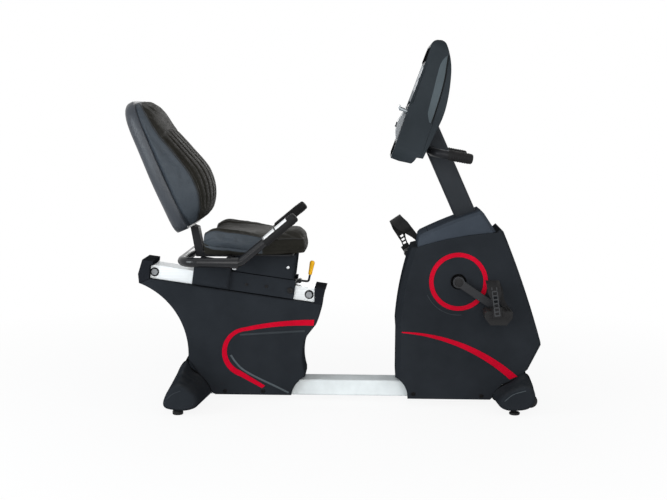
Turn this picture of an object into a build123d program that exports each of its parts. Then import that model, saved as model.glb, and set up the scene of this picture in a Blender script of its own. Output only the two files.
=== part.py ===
from build123d import *
import os
from math import asin, cos, radians, sin, tan

os.makedirs("parts", exist_ok=True)

# Recumbent exercise bike. +X points from the seat to the console, -Y is the rider's right side, +Z is up.
# The origin is on the floor, under the middle of the bike. Millimetres.

# Base frame
base_clearance = 24.0
base_rail_width = 100.0
base_rail_height = 58.0
tube_wall = 3.0
stabilizer_size = 50.0
rear_stabilizer_x = -550.0
front_stabilizer_x = 640.0
rear_stabilizer_length = 580.0
front_stabilizer_length = 470.0
stabilizer_lift = 31.0

# Levelling feet and transport wheels
foot_pad_radius = 19.0
rear_pad_height = 14.0
front_pad_height = 9.0
foot_stem_radius = 5.0
foot_stem_reach = 14.0
rear_foot_y = 262.0
front_foot_y = 205.0
wheel_radius = 24.0
wheel_width = 20.0
wheel_x = 693.0
wheel_z = 54.0
wheel_y = 222.0
wheel_pin_radius = 5.0

# Seat rail, an aluminium extrusion that falls towards the front
rail_slope = 8.0
rail_length = 630.0
rail_width = 100.0
rail_height = 50.0
rail_wall = 4.0
rail_rear_x = -690.0
rail_rear_top = 507.0

# Shrouds
shroud_wall = 3.0
rear_shroud_half = 75.0
front_shroud_half = 115.0
front_chamfer_rear = 20.0
front_chamfer_front = 9.0
rear_edge_round = 7.0
trim_thickness = 1.5
ring_outer_radius = 105.0
ring_inner_radius = 89.0
crank_hole_radius = 28.0

# Crank drive
crank_x = 441.0
crank_z = 460.0
crank_angle = 34.0
crank_length = 170.0
crank_thickness = 14.0
crank_y = 131.0
crank_axle_radius = 10.0
crank_boss_radius = 21.0
bottom_bracket_radius = 26.0
bottom_bracket_length = 60.0
pulley_radius = 140.0
pulley_width = 13.0
pulley_y = 41.0
flywheel_x = 600.0
flywheel_z = 235.0
flywheel_radius = 118.0
flywheel_width = 28.0
hub_pulley_radius = 17.5
flywheel_shaft_radius = 8.0
bearing_wall = 8.0
belt_thickness = 4.0
idler_radius = 20.0
brake_gap = 3.0
brake_arm_thickness = 12.0

# Pedals
pedal_length = 100.0
pedal_width = 92.0
pedal_axle_radius = 7.0
pedal_offset = 8.0
left_pedal_tilt = 34.0
pedal_rearward = 7.0
right_strap_height = 112.0
left_strap_height = 136.0
strap_thickness = 3.0

# Mast and console
mast_depth = 78.0
mast_width = 60.0
mast_lean = 24.2
mast_foot_x = 512.0
mast_foot_z = 596.0
mast_length = 446.0
console_width = 400.0
console_lean = 20.4
console_foot_x = 195.0
console_foot_z = 906.0
console_wall = 3.0
display_width = 300.0
button_radius = 9.0
button_height = 7.0
button_travel = 2.0
button_pitch = 46.0
front_bar_radius = 15.0
front_grip_radius = 18.0
front_bar_half = 165.0
front_bar_centre = (341.0, 924.0)
front_bar_drop = 10.0
front_bar_reach = 127.0
front_bar_corner = 45.0

# Seat carriage
carriage_rear = 175.0
carriage_front_gap = 83.0
carriage_plate = 6.0
glide_thickness = 5.0
cover_depth = 26.0
seat_top = 646.0
seat_pan_z = 556.0
seat_pan_thickness = 5.0
seat_rear_x = -471.0
seat_front_x = -109.0
seat_half_width = 205.0

# Backrest
back_lean = 23.8
back_foot_x = -565.0
back_foot_z = 650.0
back_height = 473.0
back_half_width = 205.0
back_shell_depth = 38.0

# Side handlebar
handle_radius = 17.0
grip_radius = 17.5
handle_half = 268.0
handle_z = 541.0
handle_rear_x = -536.0
handle_joint_x = -358.0
handle_rise = 40.0
handle_corner = 62.0

# Clearances
running_clearance = 0.05
moving_clearance = 0.5
panel_clearance = 0.5
seat_clearance = 0.4

# Heights that follow from the values above
base_rail_top = base_clearance + base_rail_height
rail_dir = Vector(cos(radians(rail_slope)), 0, -sin(radians(rail_slope)))
rail_plane = Plane(origin=(rail_rear_x, 0, rail_rear_top), x_dir=rail_dir, z_dir=(0, -1, 0))


def rail_height_at(x, above=0.0):
    """Height over the floor of a line parallel to the rail's top face."""
    return rail_rear_top - (x - rail_rear_x) * tan(radians(rail_slope)) + above / cos(radians(rail_slope))


def outline(start, *steps):
    """A closed flat outline: points are joined by lines, and a (via, end) pair by an arc."""
    with BuildSketch() as flat:
        with BuildLine():
            here = start
            for step in steps:
                if isinstance(step[0], tuple):
                    ThreePointArc(here, step[0], step[1])
                    here = step[1]
                else:
                    Line(here, step)
                    here = step
            if here != start:
                Line(here, start)
        make_face()
    return flat.sketch


def side_plane(y=0.0):
    """A side-view plane: sketch x is +X, sketch y is +Z, and it looks along -Y."""
    return Plane.XZ.offset(-y)


def both_sides(piece):
    """The piece and its mirror image, as two separate solids."""
    with BuildPart() as pair:
        add(piece)
        mirror(piece, about=Plane.XZ)
    return pair.part


def left_of(piece):
    """The mirror image of a right-hand piece."""
    with BuildPart() as other:
        mirror(piece, about=Plane.XZ)
    return other.part


pieces = {}

# Base rail, a rectangular steel tube between the two stabilizers
base_rail_rear = rear_stabilizer_x + stabilizer_size / 2
base_rail_front = front_stabilizer_x - stabilizer_size / 2
base_rail_corner = 6.0
base_rail_mid = base_clearance + base_rail_height / 2
with BuildPart() as base_rail:
    with BuildSketch(Plane.YZ.offset(base_rail_rear)):
        with Locations((0, base_rail_mid)):
            RectangleRounded(base_rail_width, base_rail_height, base_rail_corner)
            Rectangle(base_rail_width - 2 * tube_wall, base_rail_height - 2 * tube_wall, mode=Mode.SUBTRACT)
    extrude(amount=base_rail_front - base_rail_rear)
pieces["base_rail"] = base_rail.part

# Stabilizers, square steel tubes across both ends of the base rail, bored for the levelling feet
stabilizer_mid = stabilizer_lift + stabilizer_size / 2


def stabilizer(x, length, foot_y):
    """A square tube across the bike, with a hole near each end for a foot's stem."""
    with BuildPart() as tube:
        with BuildSketch(Plane.XZ):
            with Locations((x, stabilizer_mid)):
                Rectangle(stabilizer_size, stabilizer_size)
                Rectangle(stabilizer_size - 2 * tube_wall, stabilizer_size - 2 * tube_wall,
                          mode=Mode.SUBTRACT)
        extrude(amount=length / 2, both=True)
        with BuildSketch(Plane.XY.offset(stabilizer_lift)):
            with Locations((x, foot_y), (x, -foot_y)):
                Circle(foot_stem_radius + moving_clearance)
        extrude(amount=tube_wall, mode=Mode.SUBTRACT)
    return tube.part


pieces["rear_stabilizer"] = stabilizer(rear_stabilizer_x, rear_stabilizer_length, rear_foot_y)
pieces["front_stabilizer"] = stabilizer(front_stabilizer_x, front_stabilizer_length, front_foot_y)


# Levelling feet: a round pad on a threaded stem that turns in the stabilizer
def levelling_foot(x, y, pad_height):
    """A pad on the floor with its stem standing up through the tube's lower wall."""
    with BuildPart() as foot:
        with BuildSketch():
            with Locations((x, y)):
                Circle(foot_pad_radius)
        extrude(amount=pad_height)
        pad_rim = foot.edges().filter_by(GeomType.CIRCLE)
        chamfer(pad_rim, length=foot_pad_chamfer)
        with BuildSketch(Plane.XY.offset(pad_height)):
            with Locations((x, y)):
                Circle(foot_stem_radius)
        extrude(amount=stabilizer_lift + foot_stem_reach - pad_height)
    return foot.part


foot_pad_chamfer = 2.0
foot_places = {
    "rear": (rear_stabilizer_x, rear_foot_y, rear_pad_height),
    "front": (front_stabilizer_x, front_foot_y, front_pad_height),
}
for end, (foot_x, foot_y, pad_height) in foot_places.items():
    pieces[f"{end}_foot_right"] = levelling_foot(foot_x, -foot_y, pad_height)
    pieces[f"{end}_foot_left"] = levelling_foot(foot_x, foot_y, pad_height)


# Foot covers, moulded boots that slide over the stabilizer ends
cover_inset = 7.0
cover_overhang = 14.0
cover_end_steps = ((24.0, 1.0), (10.0, 0.95), (3.0, 0.87), (0.0, 0.78))


def foot_cover(x, inner_y, outer_y, inner_section, outer_section, foot_y, tube_end):
    """A boot lofted outwards along a stabilizer, with a pocket for the tube and a bore for the foot."""
    with BuildPart() as cover:
        end_sections = [(outer_y - inset, outer_section, share) for inset, share in cover_end_steps]
        for y, section, scale_by in [(inner_y, inner_section, 1.0), *end_sections]:
            middle_x = sum(px for px, pz in outer_section) / len(outer_section)
            middle_z = sum(pz for px, pz in outer_section) / len(outer_section)
            with BuildSketch(side_plane(-y)):
                with BuildLine():
                    Spline(
                        *[
                            (x + middle_x + (px - middle_x) * scale_by, middle_z + (pz - middle_z) * scale_by)
                            for px, pz in section
                        ],
                        periodic=True,
                    )
                make_face()
        loft(ruled=True)
        with BuildSketch(side_plane(-inner_y)):
            with Locations((x, stabilizer_mid)):
                Rectangle(stabilizer_size, stabilizer_size)
        extrude(amount=tube_end - inner_y, mode=Mode.SUBTRACT)
        with BuildSketch():
            with Locations((x, -foot_y)):
                Circle(foot_stem_radius + foot_bore_clearance)
        extrude(amount=stabilizer_lift, mode=Mode.SUBTRACT)
    return cover.part


foot_bore_clearance = 3.0
rear_cover_inner = [(2, 152), (-22, 124), (-41, 66), (-42, 34), (-8, 20), (46, 20), (92, 34), (76, 74),
                    (46, 106), (18, 128)]
rear_cover_outer = [(2, 116), (-22, 100), (-44, 64), (-48, 34), (-10, 20), (42, 20), (74, 38), (74, 66),
                    (52, 94), (26, 112)]
front_cover_inner = [(46, 128), (66, 100), (76, 60), (58, 30), (0, 18), (-46, 24), (-70, 42), (-40, 80),
                     (2, 104)]
front_cover_outer = [(36, 112), (60, 98), (70, 62), (55, 33), (0, 19), (-44, 25), (-62, 46), (-40, 80),
                     (0, 104)]
rear_cover = foot_cover(
    rear_stabilizer_x, rear_shroud_half + cover_inset, rear_stabilizer_length / 2 + cover_overhang,
    rear_cover_inner, rear_cover_outer, rear_foot_y, rear_stabilizer_length / 2,
)
pieces["rear_foot_covers"] = both_sides(rear_cover)

# The front covers also carry the transport wheels, each on a pin across a slot
wheel_gap = 2.0
with BuildPart() as front_cover:
    add(
        foot_cover(
            front_stabilizer_x, front_shroud_half + cover_inset, front_stabilizer_length / 2 + cover_overhang,
            front_cover_inner, front_cover_outer, front_foot_y, front_stabilizer_length / 2,
        )
    )
    with BuildSketch(side_plane(-(wheel_y - wheel_width / 2 - wheel_gap))):
        with Locations((wheel_x, wheel_z)):
            Circle(wheel_radius + wheel_gap)
    extrude(amount=wheel_width + 2 * wheel_gap, mode=Mode.SUBTRACT)
    with BuildSketch(side_plane(-(wheel_y - wheel_width / 2 - wheel_gap))):
        with Locations((wheel_x, wheel_z)):
            Circle(wheel_pin_radius)
    extrude(amount=wheel_width + 2 * wheel_gap)
pieces["front_foot_covers"] = both_sides(front_cover.part)

# Transport wheels
wheel_rim_round = 3.0
with BuildPart() as wheel:
    with BuildSketch(side_plane(-(wheel_y - wheel_width / 2))):
        with Locations((wheel_x, wheel_z)):
            Circle(wheel_radius)
            Circle(wheel_pin_radius + running_clearance, mode=Mode.SUBTRACT)
    extrude(amount=wheel_width)
    fillet(wheel.edges().filter_by(GeomType.CIRCLE).sort_by(SortBy.RADIUS)[-2:], radius=wheel_rim_round)
pieces["transport_wheel_right"] = wheel.part
pieces["transport_wheel_left"] = left_of(wheel.part)

# Rear frame: two posts on the base rail and a sloping plate that carries the seat rail
rear_frame_half = 30.0
rear_post = (-430.0, -370.0)
front_post = (-215.0, -165.0)
rail_seat_plate = (-640.0, -110.0)
rail_seat_thickness = 8.0


def rail_floor(x):
    """The seat rail's underside."""
    return rail_height_at(x, -rail_height)


with BuildPart() as rear_frame:
    with BuildSketch(side_plane()):
        for left, right in (rear_post, front_post):
            add(outline((left, base_rail_top), (right, base_rail_top), (right, rail_floor(right)),
                        (left, rail_floor(left))))
        left, right = rail_seat_plate
        add(outline((left, rail_floor(left)), (left, rail_floor(left) - rail_seat_thickness),
                    (right, rail_floor(right) - rail_seat_thickness), (right, rail_floor(right))))
    extrude(amount=rear_frame_half, both=True)
pieces["rear_frame"] = rear_frame.part

# Seat rail, with a bolt through each side near both ends
rail_bolt_inset = 29.0
rail_bolt_flats = 22.0
rail_bolt_head = 7.0
rail_bolt_radius = 5.0
rail_bolts_along = (rail_bolt_inset, rail_length - rail_bolt_inset)
rail_section = Plane(origin=rail_plane.origin, x_dir=(0, 1, 0), z_dir=rail_dir)
with BuildPart() as rail_blank:
    with BuildSketch(rail_section):
        with Locations((0, -rail_height / 2)):
            Rectangle(rail_width, rail_height)
    extrude(amount=rail_length)
with BuildPart() as seat_rail:
    add(rail_blank.part)
    with BuildSketch(rail_section):
        with Locations((0, -rail_height / 2)):
            Rectangle(rail_width - 2 * rail_wall, rail_height - 2 * rail_wall)
    extrude(amount=rail_length, mode=Mode.SUBTRACT)
    with BuildSketch(rail_plane.offset(-rail_width / 2)):
        with Locations(*[(along, -rail_height / 2) for along in rail_bolts_along]):
            Circle(rail_bolt_radius + running_clearance)
    extrude(amount=rail_width, mode=Mode.SUBTRACT)
pieces["seat_rail"] = seat_rail.part

with BuildPart() as rail_bolt_pair:
    with BuildSketch(rail_plane.offset(rail_width / 2)):
        with Locations(*[(along, -rail_height / 2) for along in rail_bolts_along]):
            RegularPolygon(rail_bolt_flats / 2, 6, major_radius=False)
    extrude(amount=rail_bolt_head)
    with BuildSketch(rail_plane.offset(rail_width / 2 - rail_wall)):
        with Locations(*[(along, -rail_height / 2) for along in rail_bolts_along]):
            Circle(rail_bolt_radius)
    extrude(amount=rail_wall)
pieces["rail_bolts"] = both_sides(rail_bolt_pair.part)

# Rail caps close both ends of the rail, flush with the rear shroud, with a lip over the top
rail_front_x = rail_rear_x + rail_length * cos(radians(rail_slope))
rear_cap_lip = 16.0
front_cap_lip = 8.0
with BuildPart() as rail_cap_rear:
    with BuildSketch(side_plane()):
        add(
            outline(
                (rail_rear_x - 16, rail_height_at(rail_rear_x - 16) + rear_cap_lip),
                (rail_rear_x + 24, rail_height_at(rail_rear_x + 24) + rear_cap_lip),
                (rail_rear_x + 22, rail_height_at(rail_rear_x + 22)),
                (rail_rear_x + 12, rail_height_at(rail_rear_x + 12)),
                (rail_rear_x + 9, rail_floor(rail_rear_x + 9)),
                (rail_rear_x - 29, rail_rear_top - 69),
                (rail_rear_x - 32, rail_rear_top - 34),
            )
        )
    extrude(amount=rear_shroud_half, both=True)
    add(rail_blank.part, mode=Mode.SUBTRACT)
pieces["rail_cap_rear"] = rail_cap_rear.part

with BuildPart() as rail_cap_front:
    with BuildSketch(side_plane()):
        add(
            outline(
                (rail_front_x - 11, rail_height_at(rail_front_x - 11) + front_cap_lip),
                (rail_front_x + 30, rail_height_at(rail_front_x + 30) + front_cap_lip),
                (rail_front_x + 25, rail_height_at(rail_front_x + 25)),
                (rail_front_x + 15, rail_floor(rail_front_x + 15)),
                (rail_front_x - 12, rail_floor(rail_front_x - 12)),
            )
        )
    extrude(amount=rear_shroud_half, both=True)
    add(rail_blank.part, mode=Mode.SUBTRACT)
pieces["rail_cap_front"] = rail_cap_front.part

# Rear shroud, two moulded halves that meet on the bike's middle plane
rear_shroud_bottom = base_clearance + 3.0
rear_shroud_face = outline(
    (-719, 438),
    ((-600, 350), (-541, 172)),
    (-541, 158),
    (-498, 92),
    (-468, 44),
    (-443, rear_shroud_bottom),
    (-163, rear_shroud_bottom),
    ((-146, 68), (-112, base_rail_top + 15)),
    (-112, base_rail_top + 31),
    ((-121, 178), (-104, 250)),
    (-72, 291),
    ((-59, 325), (-51, rail_floor(-51))),
    (-681, rail_floor(-681)),
)


def hollow(face, wall):
    """The same outline, one wall thickness further in."""
    return offset(face, amount=-wall, kind=Kind.INTERSECTION, mode=Mode.PRIVATE)


rail_slot_half = rear_frame_half + panel_clearance
slot_rear = rail_seat_plate[0] - panel_clearance
slot_front = rail_seat_plate[1] + panel_clearance
slot_depth = 2 * rail_seat_thickness
passage_half = base_rail_width / 2 + panel_clearance
passage_top = base_rail_top + panel_clearance
with BuildPart() as rear_shroud_right:
    with BuildSketch(side_plane()):
        add(rear_shroud_face)
    extrude(amount=rear_shroud_half)
    outer_rim = rear_shroud_right.faces().sort_by(Axis.Y)[0].edges()
    fillet(outer_rim, radius=rear_edge_round)
    with BuildSketch(side_plane()):
        add(hollow(rear_shroud_face, shroud_wall))
    extrude(amount=rear_shroud_half - shroud_wall, mode=Mode.SUBTRACT)
    with BuildSketch(side_plane()):
        add(outline((slot_rear, rail_floor(slot_rear)), (slot_front, rail_floor(slot_front)),
                    (slot_front, rail_floor(slot_front) - slot_depth),
                    (slot_rear, rail_floor(slot_rear) - slot_depth)))
    extrude(amount=rail_slot_half, mode=Mode.SUBTRACT)
    with BuildSketch(side_plane()):
        with Locations((rear_stabilizer_x, 0)):
            Rectangle(base_rail_front - base_rail_rear, passage_top, align=(Align.MIN, Align.MIN))
    extrude(amount=passage_half, mode=Mode.SUBTRACT)
pieces["rear_shroud_right"] = rear_shroud_right.part
pieces["rear_shroud_left"] = left_of(rear_shroud_right.part)

# Mast, a rectangular steel tube that leans back towards the rider
mast_corner = 12.0
mast_plane = Plane(
    origin=(mast_foot_x, 0, mast_foot_z),
    x_dir=(cos(radians(mast_lean)), 0, sin(radians(mast_lean))),
    z_dir=(-sin(radians(mast_lean)), 0, cos(radians(mast_lean))),
)


def on_mast(forward, along):
    """A side-view point measured from the mast's foot, across and along the mast."""
    place = mast_plane.from_local_coords((forward, 0, along))
    return (place.X, place.Z)


with BuildPart() as mast:
    with BuildSketch(mast_plane):
        RectangleRounded(mast_depth, mast_width, mast_corner)
        RectangleRounded(mast_depth - 2 * tube_wall, mast_width - 2 * tube_wall, mast_corner - tube_wall,
                         mode=Mode.SUBTRACT)
    extrude(amount=mast_length)
pieces["mast"] = mast.part

# Front shroud, two moulded halves around the drive
front_shroud_bottom = base_clearance + 6.0
seam_rear = (290.0, 582.0)
seam_middle = (445.0, 621.0)
seam_front = (576.0, 637.0)
front_shroud_face = outline(
    (272, 579),
    ((238, 455), (216, 297)),
    (219, 282),
    (218, base_rail_top + 22),
    (231, base_rail_top + 18),
    ((252, 76), (263, front_shroud_bottom)),
    (561, front_shroud_bottom),
    (579, 47),
    (602, base_rail_top + 5),
    (640, 101),
    (695, 141),
    (740, 232),
    (739, 242),
    ((675, 444), (599, 641)),
    (590, 650),
    seam_front,
    (seam_middle, seam_rear),
)
cover_opening = (330.0, 556.0)
cover_opening_depth = 60.0
cover_opening_half = 86.0
rear_rim_limit = 260.0
front_rim_limit = 660.0
foot_notch_top = 130.0


def front_shroud_blank(face, half):
    """Half of the front shroud as a solid, bevelled along its rear and front side edges."""
    with BuildPart() as blank:
        with BuildSketch(side_plane()):
            add(face)
        extrude(amount=half)
        rim = blank.faces().sort_by(Axis.Y)[0].edges()
        chamfer(
            rim.filter_by(lambda edge: edge.center().X < rear_rim_limit and edge.center().Z > foot_notch_top),
            length=front_chamfer_rear,
        )
        rim = blank.faces().sort_by(Axis.Y)[0].edges()
        chamfer(
            rim.filter_by(lambda edge: edge.center().X > front_rim_limit)
            .filter_by(lambda edge: edge.center().Z > foot_notch_top),
            length=front_chamfer_front,
        )
    return blank.part


with BuildPart() as front_shroud_right:
    add(front_shroud_blank(front_shroud_face, front_shroud_half))
    add(front_shroud_blank(hollow(front_shroud_face, shroud_wall), front_shroud_half - shroud_wall),
        mode=Mode.SUBTRACT)
    with BuildSketch(side_plane(-front_shroud_half)):
        with Locations((crank_x, crank_z)):
            Circle(crank_hole_radius)
    extrude(amount=-2 * shroud_wall, mode=Mode.SUBTRACT)
    with BuildSketch(Plane.XY.offset(seam_front[1])):
        with Locations((sum(cover_opening) / 2, 0)):
            Rectangle(cover_opening[1] - cover_opening[0], 2 * cover_opening_half)
    extrude(amount=-cover_opening_depth, mode=Mode.SUBTRACT)
    with BuildSketch(side_plane()):
        with Locations((base_rail_front, 0)):
            Rectangle(base_rail_front - base_rail_rear, passage_top, align=(Align.MAX, Align.MIN))
    extrude(amount=passage_half, mode=Mode.SUBTRACT)
pieces["front_shroud_right"] = front_shroud_right.part
pieces["front_shroud_left"] = left_of(front_shroud_right.part)

# Top cover, a hood over the shroud's opening with a hole for the mast
cover_half = 108.0
cover_bevel = 12.0
cover_seat = 0.3


def lifted(point):
    """A seam point raised by the gap under the top cover."""
    return (point[0], point[1] + cover_seat)


top_cover_face = outline(
    lifted((seam_rear[0] + 4, seam_rear[1] + 1)),
    (298, 618),
    (306, 628),
    ((408, 674), (505, 709)),
    (517, 714),
    (530, 704),
    lifted((seam_front[0] - 2, seam_front[1])),
    (lifted(seam_middle), lifted((seam_rear[0] + 4, seam_rear[1] + 1))),
)
with BuildPart() as top_cover:
    with BuildSketch(side_plane()):
        add(top_cover_face)
    extrude(amount=cover_half, both=True)
    upper = top_cover.edges().filter_by(lambda edge: abs(abs(edge.center().Y) - cover_half) < cover_seat)
    chamfer(upper.filter_by(lambda edge: edge.center().Z > seam_front[1] + cover_bevel), length=cover_bevel)
    with BuildSketch(side_plane()):
        add(hollow(top_cover_face, shroud_wall))
    extrude(amount=cover_half - cover_bevel, both=True, mode=Mode.SUBTRACT)
    with BuildSketch(mast_plane):
        RectangleRounded(mast_depth + 2 * panel_clearance, mast_width + 2 * panel_clearance,
                         mast_corner + panel_clearance)
    extrude(amount=mast_length, mode=Mode.SUBTRACT)
    with BuildSketch(Plane.XY.offset(seam_rear[1])):
        with Locations((sum(cover_opening) / 2, 0)):
            Rectangle(cover_opening[1] - cover_opening[0], 2 * cover_opening_half)
    extrude(amount=seam_front[1] - seam_rear[1] + shroud_wall, mode=Mode.SUBTRACT)
pieces["top_cover"] = top_cover.part

# Red trims: a ring round each crank and a stripe along each shroud side
with BuildPart() as right_trims:
    with BuildSketch(side_plane(-front_shroud_half)):
        with Locations((crank_x, crank_z)):
            Circle(ring_outer_radius)
            Circle(ring_inner_radius, mode=Mode.SUBTRACT)
        add(outline((240, 276), ((455, 238), (658, 117)), (630, 106), ((440, 225), (240, 272))))
    extrude(amount=trim_thickness)
    with BuildSketch(side_plane(-rear_shroud_half)):
        add(
            outline(
                (-78, 310),
                ((-205, 302), (-335, 279)),
                ((-416, 190), (-352, 98)),
                (-270, 54),
                (-258, 63),
                (-350, 119),
                ((-398, 185), (-327, 266)),
                ((-205, 284), (-80, 288)),
            )
        )
    extrude(amount=trim_thickness)
pieces["red_trims"] = both_sides(right_trims.part)

# Screws along the lower edge of the shrouds
screw_head_radius = 5.5
screw_head_height = 2.0
rear_screws = ((-406, 40), (-266, 44))
front_screws = ((287, 48), (532, 44))
with BuildPart() as right_screws:
    for half, places in ((rear_shroud_half, rear_screws), (front_shroud_half, front_screws)):
        with BuildSketch(side_plane(-half)):
            with Locations(*places):
                Circle(screw_head_radius)
        extrude(amount=screw_head_height)
pieces["shroud_screws"] = both_sides(right_screws.part)

# Front frame: an upright with the bottom bracket, the mast's spigot, the fork, the idler and brake pivots
upright_depth = 52.0
upright_half = 25.0
neck_drop = 46.0
spigot_reach = 110.0
spigot_play = 0.4
fork_plate = 5.0
fork_height = 110.0
fork_nose = 28.0
idler_pin_radius = 6.0
idler_plate = 5.0
brake_pivot = (508.0, 386.0)
brake_pin_radius = 5.0
brake_lug_half = 4.0
brake_lug_height = 30.0
bearing_seat_radius = crank_axle_radius + bearing_wall
flywheel_seat_radius = flywheel_shaft_radius + bearing_wall
upright_rear = crank_x - upright_depth / 2
upright_front = crank_x + upright_depth / 2
mast_rear_foot = on_mast(-mast_depth / 2, 0)
mast_front_foot = on_mast(mast_depth / 2, 0)

# The belt's two straight runs touch both pulleys; the idler presses on the lower one at its middle
belt_line = Vector(flywheel_x - crank_x, 0, flywheel_z - crank_z)
belt_span = belt_line.length
belt_along = belt_line.normalized()
belt_below = Vector(belt_along.Z, 0, -belt_along.X)
belt_lean = asin((pulley_radius - hub_pulley_radius) / belt_span)
run_normal = belt_along * sin(belt_lean) + belt_below * cos(belt_lean)
crank_centre = Vector(crank_x, 0, crank_z)
flywheel_centre = Vector(flywheel_x, 0, flywheel_z)
run_start = crank_centre + run_normal * pulley_radius
run_end = flywheel_centre + run_normal * hub_pulley_radius
run_middle = (run_start + run_end) * 0.5
idler_gap = 2 * moving_clearance
idler_centre = run_middle + run_normal * (belt_thickness + idler_gap + idler_radius)
idler_place = (idler_centre.X, idler_centre.Z)

with BuildPart() as front_frame:
    with BuildSketch(side_plane()):
        add(
            outline(
                (upright_rear, base_rail_top),
                (upright_front, base_rail_top),
                (upright_front, mast_rear_foot[1] - neck_drop),
                (mast_front_foot[0], mast_front_foot[1] - neck_drop),
                mast_front_foot,
                mast_rear_foot,
                (upright_rear, mast_rear_foot[1]),
            )
        )
    extrude(amount=upright_half, both=True)
    with BuildSketch(mast_plane):
        RectangleRounded(mast_depth - 2 * (tube_wall + spigot_play),
                         mast_width - 2 * (tube_wall + spigot_play),
                         mast_corner - tube_wall)
    extrude(amount=spigot_reach)
    with BuildSketch(side_plane()):
        with Locations((crank_x, crank_z)):
            Circle(bottom_bracket_radius)
    extrude(amount=bottom_bracket_length / 2, both=True)
    with BuildSketch(side_plane()):
        with Locations((crank_x, crank_z)):
            Circle(bearing_seat_radius)
    extrude(amount=bottom_bracket_length / 2, both=True, mode=Mode.SUBTRACT)
    fork_face = outline(
        (upright_front, flywheel_z - fork_height / 2),
        (upright_front, flywheel_z + fork_height / 2),
        (flywheel_x, flywheel_z + fork_nose),
        ((flywheel_x + fork_nose, flywheel_z), (flywheel_x, flywheel_z - fork_nose)),
    )
    for side in (-upright_half, upright_half - fork_plate):
        with BuildSketch(side_plane(side + fork_plate)):
            add(fork_face)
            with Locations((flywheel_x, flywheel_z)):
                Circle(flywheel_seat_radius, mode=Mode.SUBTRACT)
        extrude(amount=fork_plate)
    with BuildSketch(side_plane(-upright_half)):
        add(
            outline(
                (upright_rear, idler_place[1] - idler_radius),
                (idler_place[0] + idler_radius, idler_place[1] - idler_radius),
                (idler_place[0] + idler_radius, idler_place[1] + idler_radius),
                (upright_rear, idler_place[1] + idler_radius),
            )
        )
    extrude(amount=idler_plate)
    with BuildSketch(side_plane(-upright_half)):
        with Locations(idler_place):
            Circle(idler_pin_radius)
    extrude(amount=pulley_y + pulley_width / 2 - upright_half)
    with BuildSketch(side_plane()):
        add(
            outline(
                (upright_front, brake_pivot[1] - brake_lug_height / 2),
                (brake_pivot[0], brake_pivot[1] - brake_lug_height / 2),
                ((brake_pivot[0] + brake_lug_height / 2, brake_pivot[1]),
                 (brake_pivot[0], brake_pivot[1] + brake_lug_height / 2)),
                (upright_front, brake_pivot[1] + brake_lug_height / 2),
            )
        )
    extrude(amount=brake_lug_half, both=True)
    with BuildSketch(side_plane()):
        with Locations(brake_pivot):
            Circle(brake_pin_radius)
    extrude(amount=flywheel_width / 2, both=True)
pieces["front_frame"] = front_frame.part

# Bearings, pressed into both ends of the bottom bracket and into the fork plates
crank_bearing_width = 12.0
flywheel_bearing_width = 8.0
with BuildPart() as bearing_pair:
    with BuildSketch(side_plane(-bottom_bracket_length / 2)):
        with Locations((crank_x, crank_z)):
            Circle(bearing_seat_radius)
            Circle(crank_axle_radius + running_clearance, mode=Mode.SUBTRACT)
    extrude(amount=-crank_bearing_width)
    with BuildSketch(side_plane(-upright_half)):
        with Locations((flywheel_x, flywheel_z)):
            Circle(flywheel_seat_radius)
            Circle(flywheel_shaft_radius + running_clearance, mode=Mode.SUBTRACT)
    extrude(amount=-flywheel_bearing_width)
pieces["drive_bearings"] = both_sides(bearing_pair.part)

# Flywheel, one heavy disc on its shaft, with the small belt pulley on the right end
flywheel_web = 12.0
flywheel_rim = 34.0
flywheel_hub_radius = 22.0
with BuildPart() as flywheel:
    with BuildSketch(side_plane()):
        with Locations((flywheel_x, flywheel_z)):
            Circle(flywheel_radius)
    extrude(amount=flywheel_width / 2, both=True)
    with BuildSketch(side_plane(-flywheel_width / 2), side_plane(flywheel_web / 2)):
        with Locations((flywheel_x, flywheel_z)):
            Circle(flywheel_radius - flywheel_rim)
            Circle(flywheel_hub_radius, mode=Mode.SUBTRACT)
    extrude(amount=-(flywheel_width - flywheel_web) / 2, mode=Mode.SUBTRACT)
    with BuildSketch(side_plane(upright_half + fork_plate)):
        with Locations((flywheel_x, flywheel_z)):
            Circle(flywheel_shaft_radius)
    extrude(amount=upright_half + fork_plate + pulley_y + pulley_width / 2)
    with BuildSketch(side_plane(-(pulley_y - pulley_width / 2))):
        with Locations((flywheel_x, flywheel_z)):
            Circle(hub_pulley_radius)
    extrude(amount=pulley_width)
pieces["flywheel"] = flywheel.part

# Drive pulley on the crank axle, with lightening holes
pulley_holes = 6
pulley_hole_radius = 26.0
pulley_hole_circle = 88.0
with BuildPart() as drive_pulley:
    with BuildSketch(side_plane(-(pulley_y - pulley_width / 2))):
        with Locations((crank_x, crank_z)):
            Circle(pulley_radius)
            Circle(crank_axle_radius, mode=Mode.SUBTRACT)
            with PolarLocations(pulley_hole_circle, pulley_holes):
                Circle(pulley_hole_radius, mode=Mode.SUBTRACT)
    extrude(amount=pulley_width)
pieces["drive_pulley"] = drive_pulley.part

# Crank axle
crank_seat_depth = 18.0
crank_inner = crank_y - crank_seat_depth
with BuildPart() as crank_axle:
    with BuildSketch(side_plane()):
        with Locations((crank_x, crank_z)):
            Circle(crank_axle_radius)
    extrude(amount=crank_y + crank_thickness / 2, both=True)
pieces["crank_axle"] = crank_axle.part

# Drive belt, running round both pulleys with a hair of clearance
belt_width = pulley_width - 2 * moving_clearance


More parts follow.
